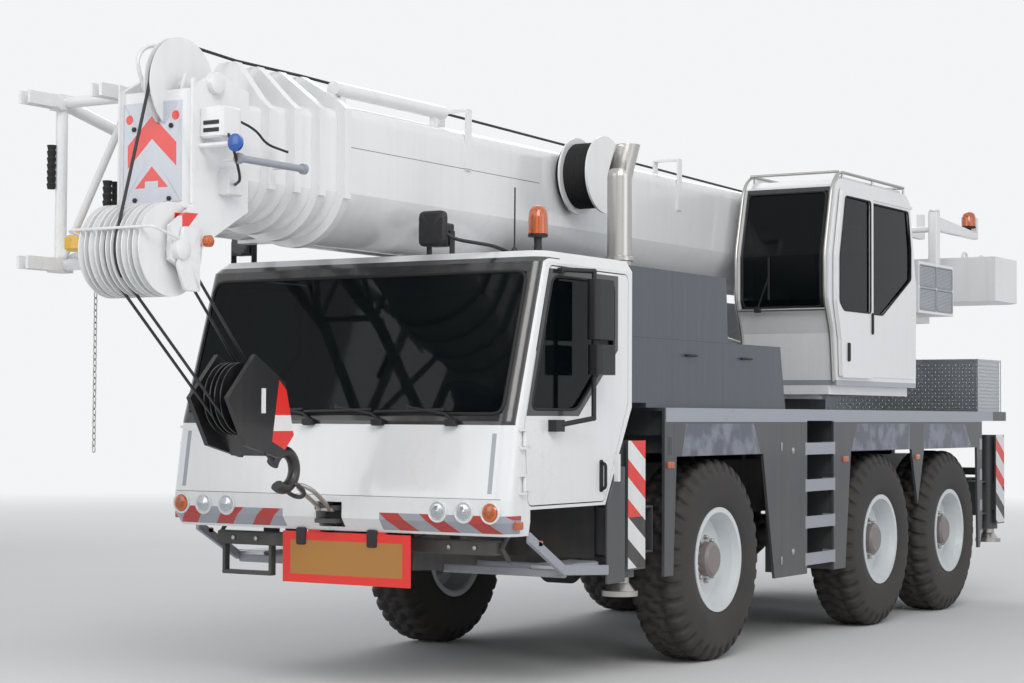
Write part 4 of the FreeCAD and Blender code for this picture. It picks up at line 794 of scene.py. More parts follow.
rubber = tyreMaterial()
nutSteel = metalFinish("nutSteel", "steel", roughness=0.45, dust=0.5)
for sideName, sideSign in sides.items():
    for axle in axles:
        makeTyre(f"tyre_{axle}_{sideName}", f"wheel_{axle}_{sideName}", sideSign, tyreShape, rubber)
        makeNuts(axle, sideName, sideSign, nutShape, nutSteel)
print("wheels dressed")


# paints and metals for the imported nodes

cabLivery = {
    "bands": (((2600, 2800), (368, 1262), (976, 1080)), ((2600, 2800), (-1262, -346), (976, 1084))),
    "slopes": (1.2, -1.1),
    "starts": (1.662, -1.690),
    "pitch": 0.285,
    "share": 0.47,
    "surround": ((2145, 2815), (-1236, 1236), (1598, 2590)),
    "grooves": ((2600, 2800), (1116, 1146), (1205, 1550)),
    "seam": ((2640, 2800), (-1200, 1200), (1172, 1177)),
}


def cabFinish(livery):
    marks = []
    for band, slope, start in zip(livery["bands"], livery["slopes"], livery["starts"]):
        stripes = inStripes("y", "z", slope, livery["pitch"], livery["share"], start)
        marks += [(inBox(*band), "stripeGrey"), (allOf(inBox(*band), stripes), "stripeRed")]
    marks += [(bothSides(*livery["grooves"]), "stripeGrey"), (inBox(*livery["seam"]), "shadowGrey"),
              (inBox(*livery["surround"]), "black")]
    return paintFinish("cabPaint", "white", marks, dustTop=1.4, dust=0.15, streaks=0.06, scuffs=0.12)


doorSeal = ((1452, 2522), (2292, 2522), (2548, 1652), (1940, 1652), (1452, 2062))
doorMarks = ((allOf(inOutline("xz", doorSeal), bothSides((1400, 2600), (1180, 1300), (1600, 2600))), "black"),)

deckMarks = {
    "edge": ((-5652, 800), (1236, 1300), (1618, 1714)),
    "ladder": ((-1990, -1430), (1150, 1300)),
    "rearLadder": ((-5470, -5290), (1150, 1300)),
    "firstStep": 556,
    "stepRise": 272,
    "stepHeight": 96,
    "panels": (((514, 1606), (-537, 1606), (-654, 1384), (575, 1392)),
               ((-2427, 1604), (-3560, 1604), (-3560, 1394), (-2312, 1396)),
               ((-3880, 1604), (-4893, 1602), (-5090, 1372), (-3880, 1384))),
    "seams": (-1353, -1421, -1000, 690),
    "pocket": ((722, 782), (1200, 1300), (1402, 1520)),
}


deckWear = {"dust": 0.25, "streaks": 0.05, "scuffs": 0.2, "roughness": 0.42, "coat": 0.25}


def deckFinish(marks):
    steps = []
    for x, y in (marks["ladder"], marks["rearLadder"]):
        for rise in range(4):
            low = marks["firstStep"] + rise * marks["stepRise"]
            steps.append(bothSides(x, y, (low, low + marks["stepHeight"])))
    sidesOnly = bothSides((-6100, 1300), (1180, 1300), (400, 1620))
    panels = allOf(anyOf(*(inOutline("xz", points) for points in marks["panels"])), sidesOnly)
    seams = [bothSides((x - 3, x + 3), (1200, 1300), (450, 1616)) for x in marks["seams"]]
    return paintFinish("deckPaint", "slate", (
        (panels, "blueGrey"),
        (allOf(panels, mottled(7.0, 0.45, 0.62)), "wornBlue"),
        (anyOf(*steps), "stepGrey"),
        (anyOf(*seams, bothSides(*marks["pocket"])), "black"),
        (bothSides(*marks["edge"]), "stepGrey"),
    ), dustTop=1.9, **deckWear)


outriggerPlates = {
    "spans": ((1085, 1315), (835, 1065), (-5965, -5735), (-5705, -5475)),
    "face": (1231, 1300),
    "low": 700,
    "split": 1020,
    "high": 1500,
    "slope": -1.6,
    "pitch": 0.40,
    "share": 0.46,
}


def outriggerFinish(plates):
    split = plates["split"]
    upper = anyOf(*(bothSides(x, plates["face"], (split, plates["high"])) for x in plates["spans"]))
    lower = anyOf(*(bothSides(x, plates["face"], (plates["low"], split)) for x in plates["spans"]))
    stripes = inStripes("x", "z", plates["slope"], plates["pitch"], plates["share"], 0.0)
    return paintFinish("outriggerPaint", "slate", (
        (anyOf(upper, lower), "white"), (allOf(upper, stripes), "signRed"), (allOf(lower, stripes), "black"),
    ), dust=0.3, scuffs=0.25, roughness=0.42, coat=0.25)


headMarks = {
    "plate": ((4310, 4340), (-240, 172), (2785, 3332)),
    "middle": -0.035,
    "big": (0.90, 3.132, 3.259, (-207, 137)),
    "small": (1.0, 2.868, 2.985, (-172, 102)),
    "notch": ((4300, 4340), (-82, 10), (2860, 2904)),
    "corners": ((4320, -196, 3244), (4320, 128, 3250)),
    "triangle": ((4425, 2716), (4295, 2718), (4423, 2592)),
    "lowTriangle": ((4300, 2600), (4262, 2548), (4306, 2530)),
}


def headFinish(marks):
    slope, low, high, reach = marks["big"]
    onPlate = inBox((4300, 4340), reach, (2900, 3332))
    big = allOf(onPlate, inRoof(marks["middle"], slope, low, high))
    slope, low, high, reach = marks["small"]
    small = allOf(inBox((4300, 4340), reach, (low * 1000, high * 1000)), inRoof(marks["middle"], slope, 2.0, high),
                  outside(inBox(*marks["notch"])))
    corners = [allOf(inDisc("x", place, 26), inBox(*marks["plate"])) for place in marks["corners"]]
    cheek = inBox((4200, 4500), (200, 330), (2500, 2760))
    wedges = [allOf(inOutline("xz", marks[name]), cheek) for name in ("triangle", "lowTriangle")]
    return paintFinish("headPaint", "white", (
        (inBox(*marks["plate"]), "plateGrey"), (anyOf(big, small, *corners, *wedges), "signRed"),
    ), dust=0.1, streaks=0.08, scuffs=0.15)


blockMarks = {
    "diamond": ((3440, 1850), (3190, 1640), (3250, 1400), (3500, 1500)),
    "side": ((2900, 4000), (60, 300)),
    "whiteBand": (1560, 1650),
    "strip": ((3560, 3600), (90, 200), (1660, 1800)),
}


def blockFinish(marks):
    reach, depth = marks["side"]
    plate = allOf(inOutline("xz", marks["diamond"]), inBox(reach, depth, (1200, 2100)))
    band = allOf(plate, inBox(reach, depth, marks["whiteBand"]))
    return paintFinish("blockPaint", "black", (
        (plate, "signRed"), (band, "white"), (inBox(*marks["strip"]), "white"),
    ), dust=0.2, streaks=0.05, scuffs=0.5, roughness=0.4, coat=0.3)


signMarks = {"border": 58, "across": (-380, 560), "up": (634, 954)}


def signFinish(marks):
    (right, left), (low, high), edge = marks["across"], marks["up"], marks["border"]
    field = inBox((2600, 2760), (right + edge, left - edge), (low + edge, high - edge))
    return paintFinish("signPaint", "signRed", ((field, "signAmber"),),
                       dust=0.12, streaks=0.0, scuffs=0.2, roughness=0.5, coat=0.1)


crownGrey = inBox((-4200, -1800), (380, 1260), (1880, 1940))
screenFrame = inBox((-2160, -1890), (474, 1172), (2470, 3432))
hoodLines = anyOf(bothSides((-1200, 1260), (1150, 1300), (2157, 2161)),
                  bothSides((620, 624), (1150, 1300), (1700, 2620)), inBox((-142, -138), (-1300, 1300), (1700, 2170)))
beaconDome = inBox((-5430, -5270), (410, 570), (3402, 3560))
# painted shade: a thin dark line along the bend in the boom's side, where the fold falls into shadow
boomBendShade = inBox((900, 3060), (300, 400), (3206, 3210))
ballastMarks = [(bothSides((-6600, -6440), (1120, 1300), z), "signRed") for z in ((2745, 2845), (3020, 3120))]
hubs = anyOf(*(inDisc("y", (x, 0, 685), 118) for x in (0, -2940, -4530)))

whitePaint = paintFinish("whitePaint", "white", dustTop=1.5, dust=0.25, streaks=0.08, scuffs=0.12)
turntablePaint = paintFinish("turntablePaint", "white", ((beaconDome, "amber"),), dust=0.15, streaks=0.1, scuffs=0.2)
# the boom's white paint, with the painted shade line along the bend in its side
boomPaint = paintFinish("boomPaint", "white", ((boomBendShade, "slate"),), dust=0.1, streaks=0.08, scuffs=0.12)
doorPaint = paintFinish("doorPaint", "white", doorMarks, dustTop=1.5, dust=0.25, streaks=0.06, scuffs=0.12)
craneCabPaint = paintFinish("craneCabPaint", "white", ((screenFrame, "black"), (crownGrey, "stepGrey")),
                            dust=0.1, streaks=0.06, scuffs=0.12)
headPaint = headFinish(headMarks)
ballastPaint = paintFinish("ballastPaint", "white", ballastMarks, dust=0.1, streaks=0.1, scuffs=0.2)
deckPaint = deckFinish(deckMarks)
hoodPaint = paintFinish("hoodPaint", "hoodGrey", ((hoodLines, "black"),),
                        dustTop=2.0, dust=0.15, streaks=0.05, scuffs=0.15, roughness=0.42, coat=0.25)
framePaint = paintFinish("framePaint", "frameGrey", dust=0.55, streaks=0.1, scuffs=0.3, roughness=0.55, coat=0.0)
rimPaint = paintFinish("rimPaint", "rimWhite", ((hubs, "hubGrey"),),
                       dustTop=1.9, dust=0.28, streaks=0.0, scuffs=0.25, roughness=0.35, coat=0.3)
slatePaint = paintFinish("slatePaint", "slate", **deckWear)
stepPaint = paintFinish("stepPaint", "stepGrey", dust=0.35, streaks=0.05, scuffs=0.4, roughness=0.5, coat=0.1)
bluePaint = paintFinish("bluePaint", "blue", dust=0.05, scuffs=0.1)
yellowPaint = paintFinish("yellowPaint", "yellow", dust=0.1, scuffs=0.3)
brightSteel = metalFinish("brightSteel", "steel", roughness=0.3, dust=0.1)
chrome = metalFinish("chromeRod", "chrome", roughness=0.14, dust=0.05)
chequer = metalFinish("chequerPlate", "aluminium", roughness=0.35, dust=0.15)
ropeSteel = metalFinish("ropeSteel", "rope", roughness=0.5, metallic=0.7, dust=0.0)
tintedGlass = glassFinish("tintedGlass", "glassTint")
clearLens = glassFinish("clearLens", "clear", roughness=0.08)
cabinPlastic = plasticFinish("cabinPlastic", "cabin")
blackPlastic = plasticFinish("blackPlastic", "plastic", roughness=0.5)
sealRubber = plasticFinish("sealRubber", "seal", roughness=0.7, grain=200.0)
amberLens = lensFinish("amberLens", "amber")
redLens = lensFinish("redLens", "lampRed")

assign(turntablePaint, "turntable_frame")
assign(whitePaint, "boom_section_1", "boom_section_2", "boom_section_3", "stowed_jib", "luff_barrel")
assign(boomPaint, "boom_base")
assign(headPaint, "boom_head")
assign(ballastPaint, "counterweight")
assign(craneCabPaint, "crane_cab_shell", "crane_cab_door")
assign(doorPaint, "door_left", "door_right")
assign(cabFinish(cabLivery), "cab_shell")
assign(deckPaint, "side_decks")
assign(hoodPaint, "engine_hood")
corners = [f"{end}_{side}" for end in ("front", "rear") for side in sides]
assign(outriggerFinish(outriggerPlates), *(f"outrigger_{corner}" for corner in corners))
assign(framePaint, "chassis_frame", "axle_beams")
assign(blockFinish(blockMarks), "hook_block")
assign(brightSteel, "exhaust_stack", *(f"jack_{corner}" for corner in corners))
assign(chrome, "luff_rod")
assign(chequer, "storage_box")
assign(tintedGlass, "cab_glass", "crane_cab_glass", "crane_cab_door_glass", "door_glass_left", "door_glass_right")
assign(cabinPlastic, "cab_interior", "crane_cab_interior")
assign(blackPlastic, "mirrors_left", "mirrors_right")
assign(signFinish(signMarks), "front_sign")
for sideName in sides:
    assign(rimPaint, *(f"rim_{axle}_{sideName}" for axle in axles))
    assign(framePaint, *(f"knuckle_{axle}_{sideName}" for axle in axles))
print("paints laid")

# makers for the fittings: a form is written as its maker and the maker's values, in millimetres


def bent(points, corner, radius, steps=4):
    # an open tube whose path turns in rounded corners
    return tube(roundedPath(points, corner, steps=steps), radius)


def ring(points, corner, radius):
    # a closed tube whose path turns in rounded corners
    return tube(roundedPath(points, corner, closed=True), radius, closed=True)


def atY(points, y):
    return [(x, y, z) for x, z in points]


def made(form):
    return form[0](*form[1:])


def copies(forms, places):
    # the same few forms at each of the places
    return repeated(joined([made(form) for form in forms]), places)


def dress(name, body, material, slotName, forms, both=False):
    # one piece from its forms; both adds the twin of each form on the other side
    parts = [made(form) for form in (forms.values() if isinstance(forms, dict) else forms)]
    twins = [mirrored(part) for part in parts] if both else []
    makePiece(name, parts + twins, body, material)


def dressAll(pieces):
    for name, piece in pieces.items():
        dress(name, *piece)


# the driver's cab: lamps, wipers, roof fittings, seals and handles

lampDetail = {
    "face": 2760,
    "height": 1098,
    "headlamps": (782, 963),
    "turnLamp": 1142,
    "bezel": ((-8, 40), (-8, 64), (4, 66), (11, 63), (12, 58), (8, 54), (6, 40)),
    "lens": ((4, 52), (8, 53), (15, 46), (20, 32), (23, 14), (23.5, 2)),
    "bowl": ((4.5, 50), (7, 42), (8, 20), (11, 16), (12, 2)),
    "noseMarker": (slab, (2600, 2680), (1246, 1268), (1000, 1046), 5),
    "sillMarker": (slab, (2350, 2405), (1222, 1250), (890, 926), 5),
    "deckMarker": (slab, (-46, 46), (1246, 1262), (-22, 22), 4, 6, "y"),
    "deckMarkerPlaces": ((746, 0, 1338), (-2181, 0, 1333), (-3723, 0, 1327)),
}


def makeLamps(detail):
    face, height = detail["face"], detail["height"]
    inner = [(face, side * y, height) for side in sides.values() for y in detail["headlamps"]]
    outer = [(face, side * detail["turnLamp"], height) for side in sides.values()]
    dress("lampBezels", "carrier", whitePaint, "white_paint", [(lathe, detail["bezel"], p) for p in inner + outer])
    dress("headLenses", "carrier", clearLens, "glass", [(lathe, detail["lens"], p) for p in inner])
    dress("lampBowls", "carrier", chrome, "steel", [(lathe, detail["bowl"], p) for p in inner])
    dress("turnLenses", "carrier", amberLens, "glass", [(lathe, detail["lens"], p) for p in outer])
    markers = (copies, [detail["deckMarker"]], detail["deckMarkerPlaces"])
    dress("sideMarkers", "carrier", amberLens, "glass", [detail["noseMarker"], markers, detail["sillMarker"]], True)


workLampPlaces = ((0, -1105, 0), (0, 430, 0))
cabPieces = {
    "wipers": ("carrier", blackPlastic, "interior_plastic", [(copies, [
        (slab, (2690, 2740), (-46, 34), (1590, 1632), 8, 12),  # spindle box
        (tube, ((2712, 0, 1628), (2706, -60, 1664), (2694, -330, 1700)), 9),  # arm
        (tube, ((2702, -560, 1672), (2699, -60, 1686)), 10),  # blade
        (tube, ((2690, -330, 1712), (2702, -320, 1680)), 8),  # joint of arm and blade
    ], ((0, -184, 0), (0, 327, 0), (0, 848, 0)))]),
    "cabBeacon": ("carrier", amberLens, "glass", {
        "dome": (lathe, ((2758, 52), (2764, 60), (2860, 60), (2905, 54), (2930, 36), (2938, 12), (2939, 1)),
                 (1926, 950, 0), "z")}),
    "roofFittings": ("carrier", blackPlastic, "interior_plastic", {
        "beaconFoot": (lathe, ((2620, 30), (2700, 24), (2740, 26), (2744, 60), (2760, 62), (2762, 50)),
                       (1926, 950, 0), "z"),
        "aerial": (tube, ((2215, 960, 2620), (2215, 960, 2660), (2212, 960, 3020)), 5, 8),
        "aerialFoot": (lathe, ((2622, 22), (2650, 18), (2662, 8)), (2215, 960, 0), "z"),
        "workLamps": (copies, [
            (slab, (2170, 2262), (-75, 75), (2684, 2826), 12, 16, "x"),
            (slab, (2190, 2240), (-90, -78), (2622, 2780), 3),
            (slab, (2190, 2240), (78, 90), (2622, 2780), 3),
            (slab, (2180, 2250), (-90, 90), (2620, 2634), 3)], workLampPlaces),
        "mirror": (slab, (2486, 2536), (474, 668), (2660, 2872), 16, 40, "x"),
        "mirrorArm": (bent, ((2220, 905, 2640), (2330, 880, 2665), (2470, 700, 2700), (2498, 650, 2740)), 50, 11)}),
    "workLenses": ("carrier", clearLens, "glass", {
        "lenses": (copies, [(lathe, ((2258, 60), (2264, 62), (2276, 58), (2280, 30), (2281, 2)), (0, 0, 2750))],
                   workLampPlaces)}),
}
doorTrim = {
    "seal": (ring, atY(((1500, 2480), (2250, 2480), (2490, 1690), (1960, 1690), (1500, 2080)), 1247), 60, 9),
    "handle": (bent, ((1662, 1250, 1205), (1662, 1282, 1215), (1662, 1282, 1360), (1662, 1250, 1370)), 20, 10),
    "handlePlate": (slab, (1640, 1684), (1246, 1256), (1190, 1386), 3, 14, "y"),
}
screenTrim = {"screenSeal": ("carrier", sealRubber, "interior_plastic", {
    "seal": (ring, ((2678, -1168, 1662), (2678, 1168, 1662), (2410, 1168, 2502), (2410, -1168, 2502)), 70, 10)})}

makeLamps(lampDetail)
dressAll(cabPieces)
for sideName, sideSign in sides.items():
    trim = [made(form) for form in doorTrim.values()]
    trim = trim if sideSign > 0 else [mirrored(part) for part in trim]
    makePiece(f"doorTrim_{sideName}", trim, f"door_{sideName}", sealRubber)
dressAll(screenTrim)
print("cab dressed")

# below the cab: side steps, tail-lamp bar, cross bar with the foot step, sign clips, and the shackle that ties the hook

lowPieces = {
    "stepBars": ("carrier", stepPaint, "grey_paint", {
        "slantedBar": (prism, ((2499, 983), (2098, 770), (2098, 708), (2499, 921)), "y", (1222, 1250), 4, 2),
        "levelBar": (prism, ((2098, 770), (1559, 739), (1559, 677), (2098, 708)), "y", (1222, 1250), 4, 2),
        "rearBracket": (slab, (1660, 1704), (370, 1232), (690, 740), 5, 10),
        "frontBracket": (slab, (2040, 2084), (370, 1232), (690, 740), 5, 10)}, True),
    "stepTreads": ("carrier", chequer, "steel", {
        "plate": (slab, (1640, 2098), (1010, 1222), (738, 764), 4),
        "ribs": (copies, [(slab, (0, 16), (0, 190), (0, 6), 2, 2)], rowOf((1652, 1020, 763), (31, 0, 0), 14))}, True),
    "stepPlates": ("carrier", slatePaint, "grey_paint", {
        "plate": (prism, ((1575, 620), (1575, 1120), (1450, 1340), (1345, 1340), (1345, 620)),
                  "y", (1231, 1247), 3, 8)},
        True),
    "rearBar": ("carrier", framePaint, "frame_paint", {
        "bar": (slab, (-6001, -5945), (-1190, 1190), (1126, 1194), 6, 12)}),
    "lowerBar": ("carrier", framePaint, "frame_paint", {
        "bar": (slab, (2452, 2542), (-1040, 1040), (838, 922), 10, 12, "y"),
        "rightEnd": (tube, ((2420, -1060, 960), (2500, -1060, 880), (2420, -1060, 800)), 14),
        "leftEnd": (tube, ((2420, 1060, 960), (2500, 1060, 880), (2420, 1060, 800)), 14),
        "stepHangers": (copies, [(slab, (2470, 2520), (-12, 12), (650, 845), 4)], ((0, -1000, 0), (0, -632, 0))),
        "footStep": (slab, (2466, 2524), (-1010, -622), (650, 676), 4, 6, "y"),
        "mounts": (copies, [(slab, (2380, 2450), (-40, 40), (840, 960), 6)], ((0, -700, 0), (0, 700, 0)))}),
    "barStuds": ("carrier", brightSteel, "steel", {
        "studs": (copies, [(lathe, ((2540, 14), (2552, 14), (2556, 8)), (0, 0, 880), "x", 12)],
                  ((0, -900, 0), (0, -720, 0), (0, 720, 0), (0, 900, 0)))}),
    "signClips": ("carrier", blackPlastic, "interior_plastic", {
        "clips": (copies, [(slab, (2700, 2722), (-36, 36), (868, 972), 5, 14, "x")], ((0, -240, 0), (0, 284, 0)))}),
    "hookShackle": ("carrier", brightSteel, "steel", {
        "bow": (bent, ((2790, -34, 1086), (2850, -40, 1130), (2990, -48, 1216), (3070, 0, 1250), (2990, 48, 1216),
                       (2850, 40, 1130), (2790, 34, 1086)), 60, 14),
        "pin": (tube, ((2792, -60, 1088), (2792, 60, 1088)), 13)}),
}

dressAll(lowPieces)
print("lower front dressed")

# decks, hood and storage box: tread lozenges, latches, louvres, handles and tail lamps

treadDetail = {
    "boxLozenge": {"size": (24, 9), "height": 2.6, "pitch": 32.0},
    "deckLozenge": {"size": (40, 12), "height": 2.6, "pitch": 56.0},
    "draw": 0.45,
    "box": ((-6020, -5390), (-1200, 1200), (1710, 2185)),
    "edge": 20,
    "deckTop": 1710,
    "walkways": (((-5380, -4300), (1010, 1240)), ((-3700, -1230), (1010, 1240)), ((-5380, -1230), (-1240, -1010))),
}


def lozenge(size, height, axis, turned):
    # a six-sided lozenge on a face square to the axis, its top drawn in
    angle = np.arange(6) * np.pi / 3
    long, short = size if turned else size[::-1]
    outline = np.column_stack([long * np.cos(angle), short * np.sin(angle)]) / 2
    rings = np.zeros((2, 6, 3))
    rings[:, :, list(planeAxes[axis])] = np.stack([outline, outline * treadDetail["draw"]])
    rings[1, :, "xyz".index(axis)] = height
    return capped(rings)


def treadOn(axis, face, spanU, spanV, tread, away=1.0):
    # lozenges in a chequer, each turned square to its neighbours
    pitch = tread["pitch"]
    u = np.arange(spanU[0] + pitch / 2, spanU[1] - pitch / 3, pitch)
    v = np.arange(spanV[0] + pitch / 2, spanV[1] - pitch / 3, pitch)
    iu, iv = np.meshgrid(np.arange(len(u)), np.arange(len(v)), indexing="ij")
    parts = []
    for odd in (0, 1):
        pick = (iu + iv) % 2 == odd
        places = np.zeros((pick.sum(), 3))
        places[:, planeAxes[axis][0]] = u[iu[pick]]
        places[:, planeAxes[axis][1]] = v[iv[pick]]
        places[:, "xyz".index(axis)] = face
        parts.append(repeated(lozenge(tread["size"], away * tread["height"], axis, bool(odd)), places))
    return parts


def makeTreads(detail):
    tread, edge = detail["boxLozenge"], detail["edge"]
    x, y, z = detail["box"]
    insideX, insideZ = (x[0] + edge, x[1] - edge), (z[0] + edge, z[1] - edge)
    parts = treadOn("z", z[1], x, y, tread)
    parts += treadOn("y", y[1], insideX, insideZ, tread)
    parts += treadOn("y", y[0], insideX, insideZ, tread, -1.0)
    parts += treadOn("x", x[1], y, insideZ, tread)
    parts += [slab((cx - 4, cx + 4), (cy - 4, cy + 4), (z[0], z[1] + 4), 2, 2) for cx in x for cy in y]
    makePiece("boxTread", parts, "carrier", chequer)
    walk = []
    for spanX, spanY in detail["walkways"]:
        walk += treadOn("z", detail["deckTop"], spanX, spanY, detail["deckLozenge"])
    makePiece("deckTread", walk, "carrier", deckPaint)


def slats(face, depth, spanX, spanZ, count, drop, edge):
    # sloping slats up one opening; face and depth are the y of the wall and of the slats' outer edge
    rise = (spanZ[1] - spanZ[0]) / count
    outline = [(face, 0), (depth[0], -rise * drop[0]), (depth[1], -rise * drop[1]), (face, -rise * drop[2])]
    return repeated(prism(outline, "x", spanX, edge, edge), rowOf((0, 0, spanZ[0] + rise), (0, 0, rise), count))


latch = ((1246, 24), (1252, 24), (1256, 18), (1257, 4))
hoodSlat = ((1870, 2150), 9, (0.55, 0.62, 0.25), 2)
hoodGrip = [(bent, ((0, 1198, 0), (0, 1228, 0), (130, 1228, 0), (130, 1198, 0)), 18, 8)]
deckPieces = {
    "lockerLatches": ("carrier", brightSteel, "steel", {
        "rear": (lathe, latch, (-1206, 0, 1409), "y", 16),
        "low": (lathe, latch, (-1206, 0, 673), "y", 16),
        "lowHinge": (slab, (-1010, -990), (1248, 1256), (590, 650), 2, 6, "y"),
        "highHinge": (slab, (-1010, -990), (1248, 1256), (1410, 1470), 2, 6, "y")}, True),
    "hoodLouvres": ("carrier", hoodPaint, "grey_paint", {
        "rear": (slats, -1198, (-1216, -1212), (-150, 290), *hoodSlat),
        "front": (slats, -1198, (-1216, -1212), (380, 820), *hoodSlat)}),
    "hoodGrips": ("carrier", blackPlastic, "interior_plastic", {
        "grips": (copies, hoodGrip, ((-560, 0, 2060), (300, 0, 2060)))}, True),
    "exhaustClamps": ("carrier", brightSteel, "steel", {
        "clamp": (lathe, ((2640, 84), (2644, 92), (2668, 92), (2672, 84)), (1155, 1095, 0), "z", 32)}),
    "rearLamps": ("carrier", redLens, "glass", {
        "right": (slab, (-6024, -6000), (-1180, -1030), (1120, 1200), 5, 10, "x"),
        "left": (slab, (-6024, -6000), (1030, 1180), (1120, 1200), 5, 10, "x")}),
}

makeTreads(treadDetail)
dressAll(deckPieces)
print("decks dressed")

# superstructure: crane cab tubes, seals and wiper, machinery grilles, post and beacon, lifting eyes

craneDetail = {
    "guard": ((-3560, 3556), (-2190, 3556), (-2062, 3452), (-1914, 2903), (-1914, 2557), (-2030, 2293), (-2072, 1930)),
    "guardSides": (450, 1195),
    "guardPosts": (-3560, -2880, -2260),
    "guardBars": ((-3560, 3556), (-2190, 3556), (-1948, 2480)),
    "grilleX": ((-4710, -4345), (-4305, -3940)),
    "grilleZ": ((2575, 2745), (2775, 2940)),
    "grilleSlat": (14, (0.5, 0.62, 0.3), 1.5),
    "winch": {"place": (-5330, 0, 2700), "start": -250, "turns": 26, "pitch": 20.0, "radii": (166.0, 176.0)},
}


def woundRope(place, start, turns, pitch, radii, sides):
    # turns of rope on a drum, as a ridged profile turned about the drum's axle
    along = np.repeat(start + np.arange(turns) * pitch, 2) + np.tile([0.0, pitch / 2], turns)
    return lathe(np.column_stack([along, np.tile(radii, turns)]), place, "y", sides)


def guardForms(detail):
    forms = []
    for y in detail["guardSides"]:
        forms.append((bent, atY(detail["guard"], y), 90, 13, 6))
        forms += [(tube, ((x, y, 3490), (x, y, 3556)), 10) for x in detail["guardPosts"]]
    low, high = detail["guardSides"]
    return forms + [(tube, ((x, low, z), (x, high, z)), 12) for x, z in detail["guardBars"]]


def grilleForms(detail):
    forms = []
    for low, high in detail["grilleZ"]:
        for x0, x1 in detail["grilleX"]:
            edge = ((x0 - 8, low - 6), (x1 + 8, low - 6), (x1 + 8, high + 6), (x0 - 8, high + 6))
            forms.append((slats, 1199, (1209, 1206), (x0, x1), (low, high), *detail["grilleSlat"]))
            forms.append((ring, atY(edge, 1200), 14, 7))
    return forms


eyePlaces = ((-6420, 0, 0), (-5960, 0, 0))
cranePieces = {
    "cabGuards": ("superstructure", brightSteel, "steel", guardForms(craneDetail)),
    "craneCabTrim": ("superstructure", sealRubber, "interior_plastic", {
        "rearPane": (ring, atY(((-3685, 3045), (-3622, 3362), (-2838, 3362),
                                (-2838, 2478), (-3052, 2478), (-3685, 2800)),
                               1213), 30, 7),
        "screen": (ring, ((-1972, 496, 2500), (-1972, 1150, 2500), (-1941, 1150, 2570), (-1941, 1150, 2895),
                          (-2066, 1150, 3392), (-2066, 496, 3392), (-1941, 496, 2895), (-1941, 496, 2570)), 40, 8),
        "wiperArm": (tube, ((-1934, 625, 2484), (-1934, 716, 2720)), 7),
        "wiperBlade": (tube, ((-1934, 722, 2560), (-1934, 722, 2890)), 9),
        "wiperBox": (slab, (-1960, -1924), (598, 652), (2462, 2506), 6)}),
    "slideDoorTrim": ("crane_cab_door", sealRubber, "interior_plastic", {
        "seal": (ring, atY(((-2700, 3362), (-2190, 3362), (-2073, 2890), (-2073, 2540), (-2160, 2478), (-2700, 2478)),
                           1254), 30, 7),
        "grip": (slab, (-2748, -2716), (1250, 1266), (2310, 2480), 5, 12, "y"),
        "lock": (slab, (-2268, -2226), (1250, 1266), (2085, 2230), 5, 12, "y")}),
    "grilleSlats": ("superstructure", stepPaint, "white_paint", grilleForms(craneDetail)),
    "rearBeacon": ("superstructure", amberLens, "glass", {
        "dome": (lathe, ((14, 56), (20, 66), (96, 66), (134, 56), (150, 34), (156, 2)), (-5930, 930, 3420), "z")}),
    "beaconFoot": ("superstructure", blackPlastic, "interior_plastic", {
        "foot": (lathe, ((-60, 26), (0, 24), (2, 66), (14, 68), (16, 50)), (-5930, 930, 3420), "z")}),
    "beaconArm": ("superstructure", whitePaint, "white_paint", {
        "arm": (prism, ((-5020, 3330), (-5020, 3460), (-6080, 3388), (-6080, 3328)), "y", (900, 960), 4, 10),
        "endHook": (slab, (-6110, -6070), (898, 962), (3328, 3530), 5, 8),
        "post": (slab, (-5060, -4968), (886, 974), (2700, 3500), 8, 20),
        "bracket": (slab, (-5040, -4700), (894, 966), (2780, 2900), 6, 8),
        "postCap": (lathe, ((3500, 50), (3516, 46), (3520, 30)), (-5014, 930, 0), "z", 24),
        "stay": (tube, ((-5010, 560, 3340), (-5010, 900, 3340)), 26)}),
    "liftingEyes": ("superstructure", whitePaint, "white_paint", {
        "right": (copies, [(bent, ((0, -900, 3120), (0, -900, 3190), (110, -900, 3190), (110, -900, 3120)), 50, 13, 6)],
                  eyePlaces),
        "left": (copies, [(bent, ((0, 900, 3120), (0, 900, 3190), (110, 900, 3190), (110, 900, 3120)), 50, 13, 6)],
                 eyePlaces)}),
    "winchRope": ("superstructure", ropeSteel, "steel", {
        "rope": (woundRope, *craneDetail["winch"].values(), 40)}),
}

dressAll(cranePieces)
print("superstructure dressed")

# boom: hoist rope, fairlead and cable drum winding

ropeDetail = {
    "side": 28,
    "height": 3642,
    "radius": 9,
    "start": ((-4690, 28, 3494), (-4500, 28, 3500)),
    "collars": (3100, 3300, 3500, 3700),
    "headEntry": (3900.0, 28.0, 3653.9),
    "sections": ("boom_base", "boom_section_1", "boom_section_2", "boom_section_3", "boom_head"),
    "topSheave": (4180, 3430, 240),
    "lowSheave": (4450, 2520, 236),
    "lowShift": 9.5,
    "wrapFrom": 0.25,
    "wrapTo": -0.70,
    "inset": 1,
}


def ropeRun(detail, name, path):
    # a length of rope between two bodies that move apart or turn against each other
    piece = makePiece(name, [tube(path, detail["radius"])], None, ropeSteel)
    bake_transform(piece)


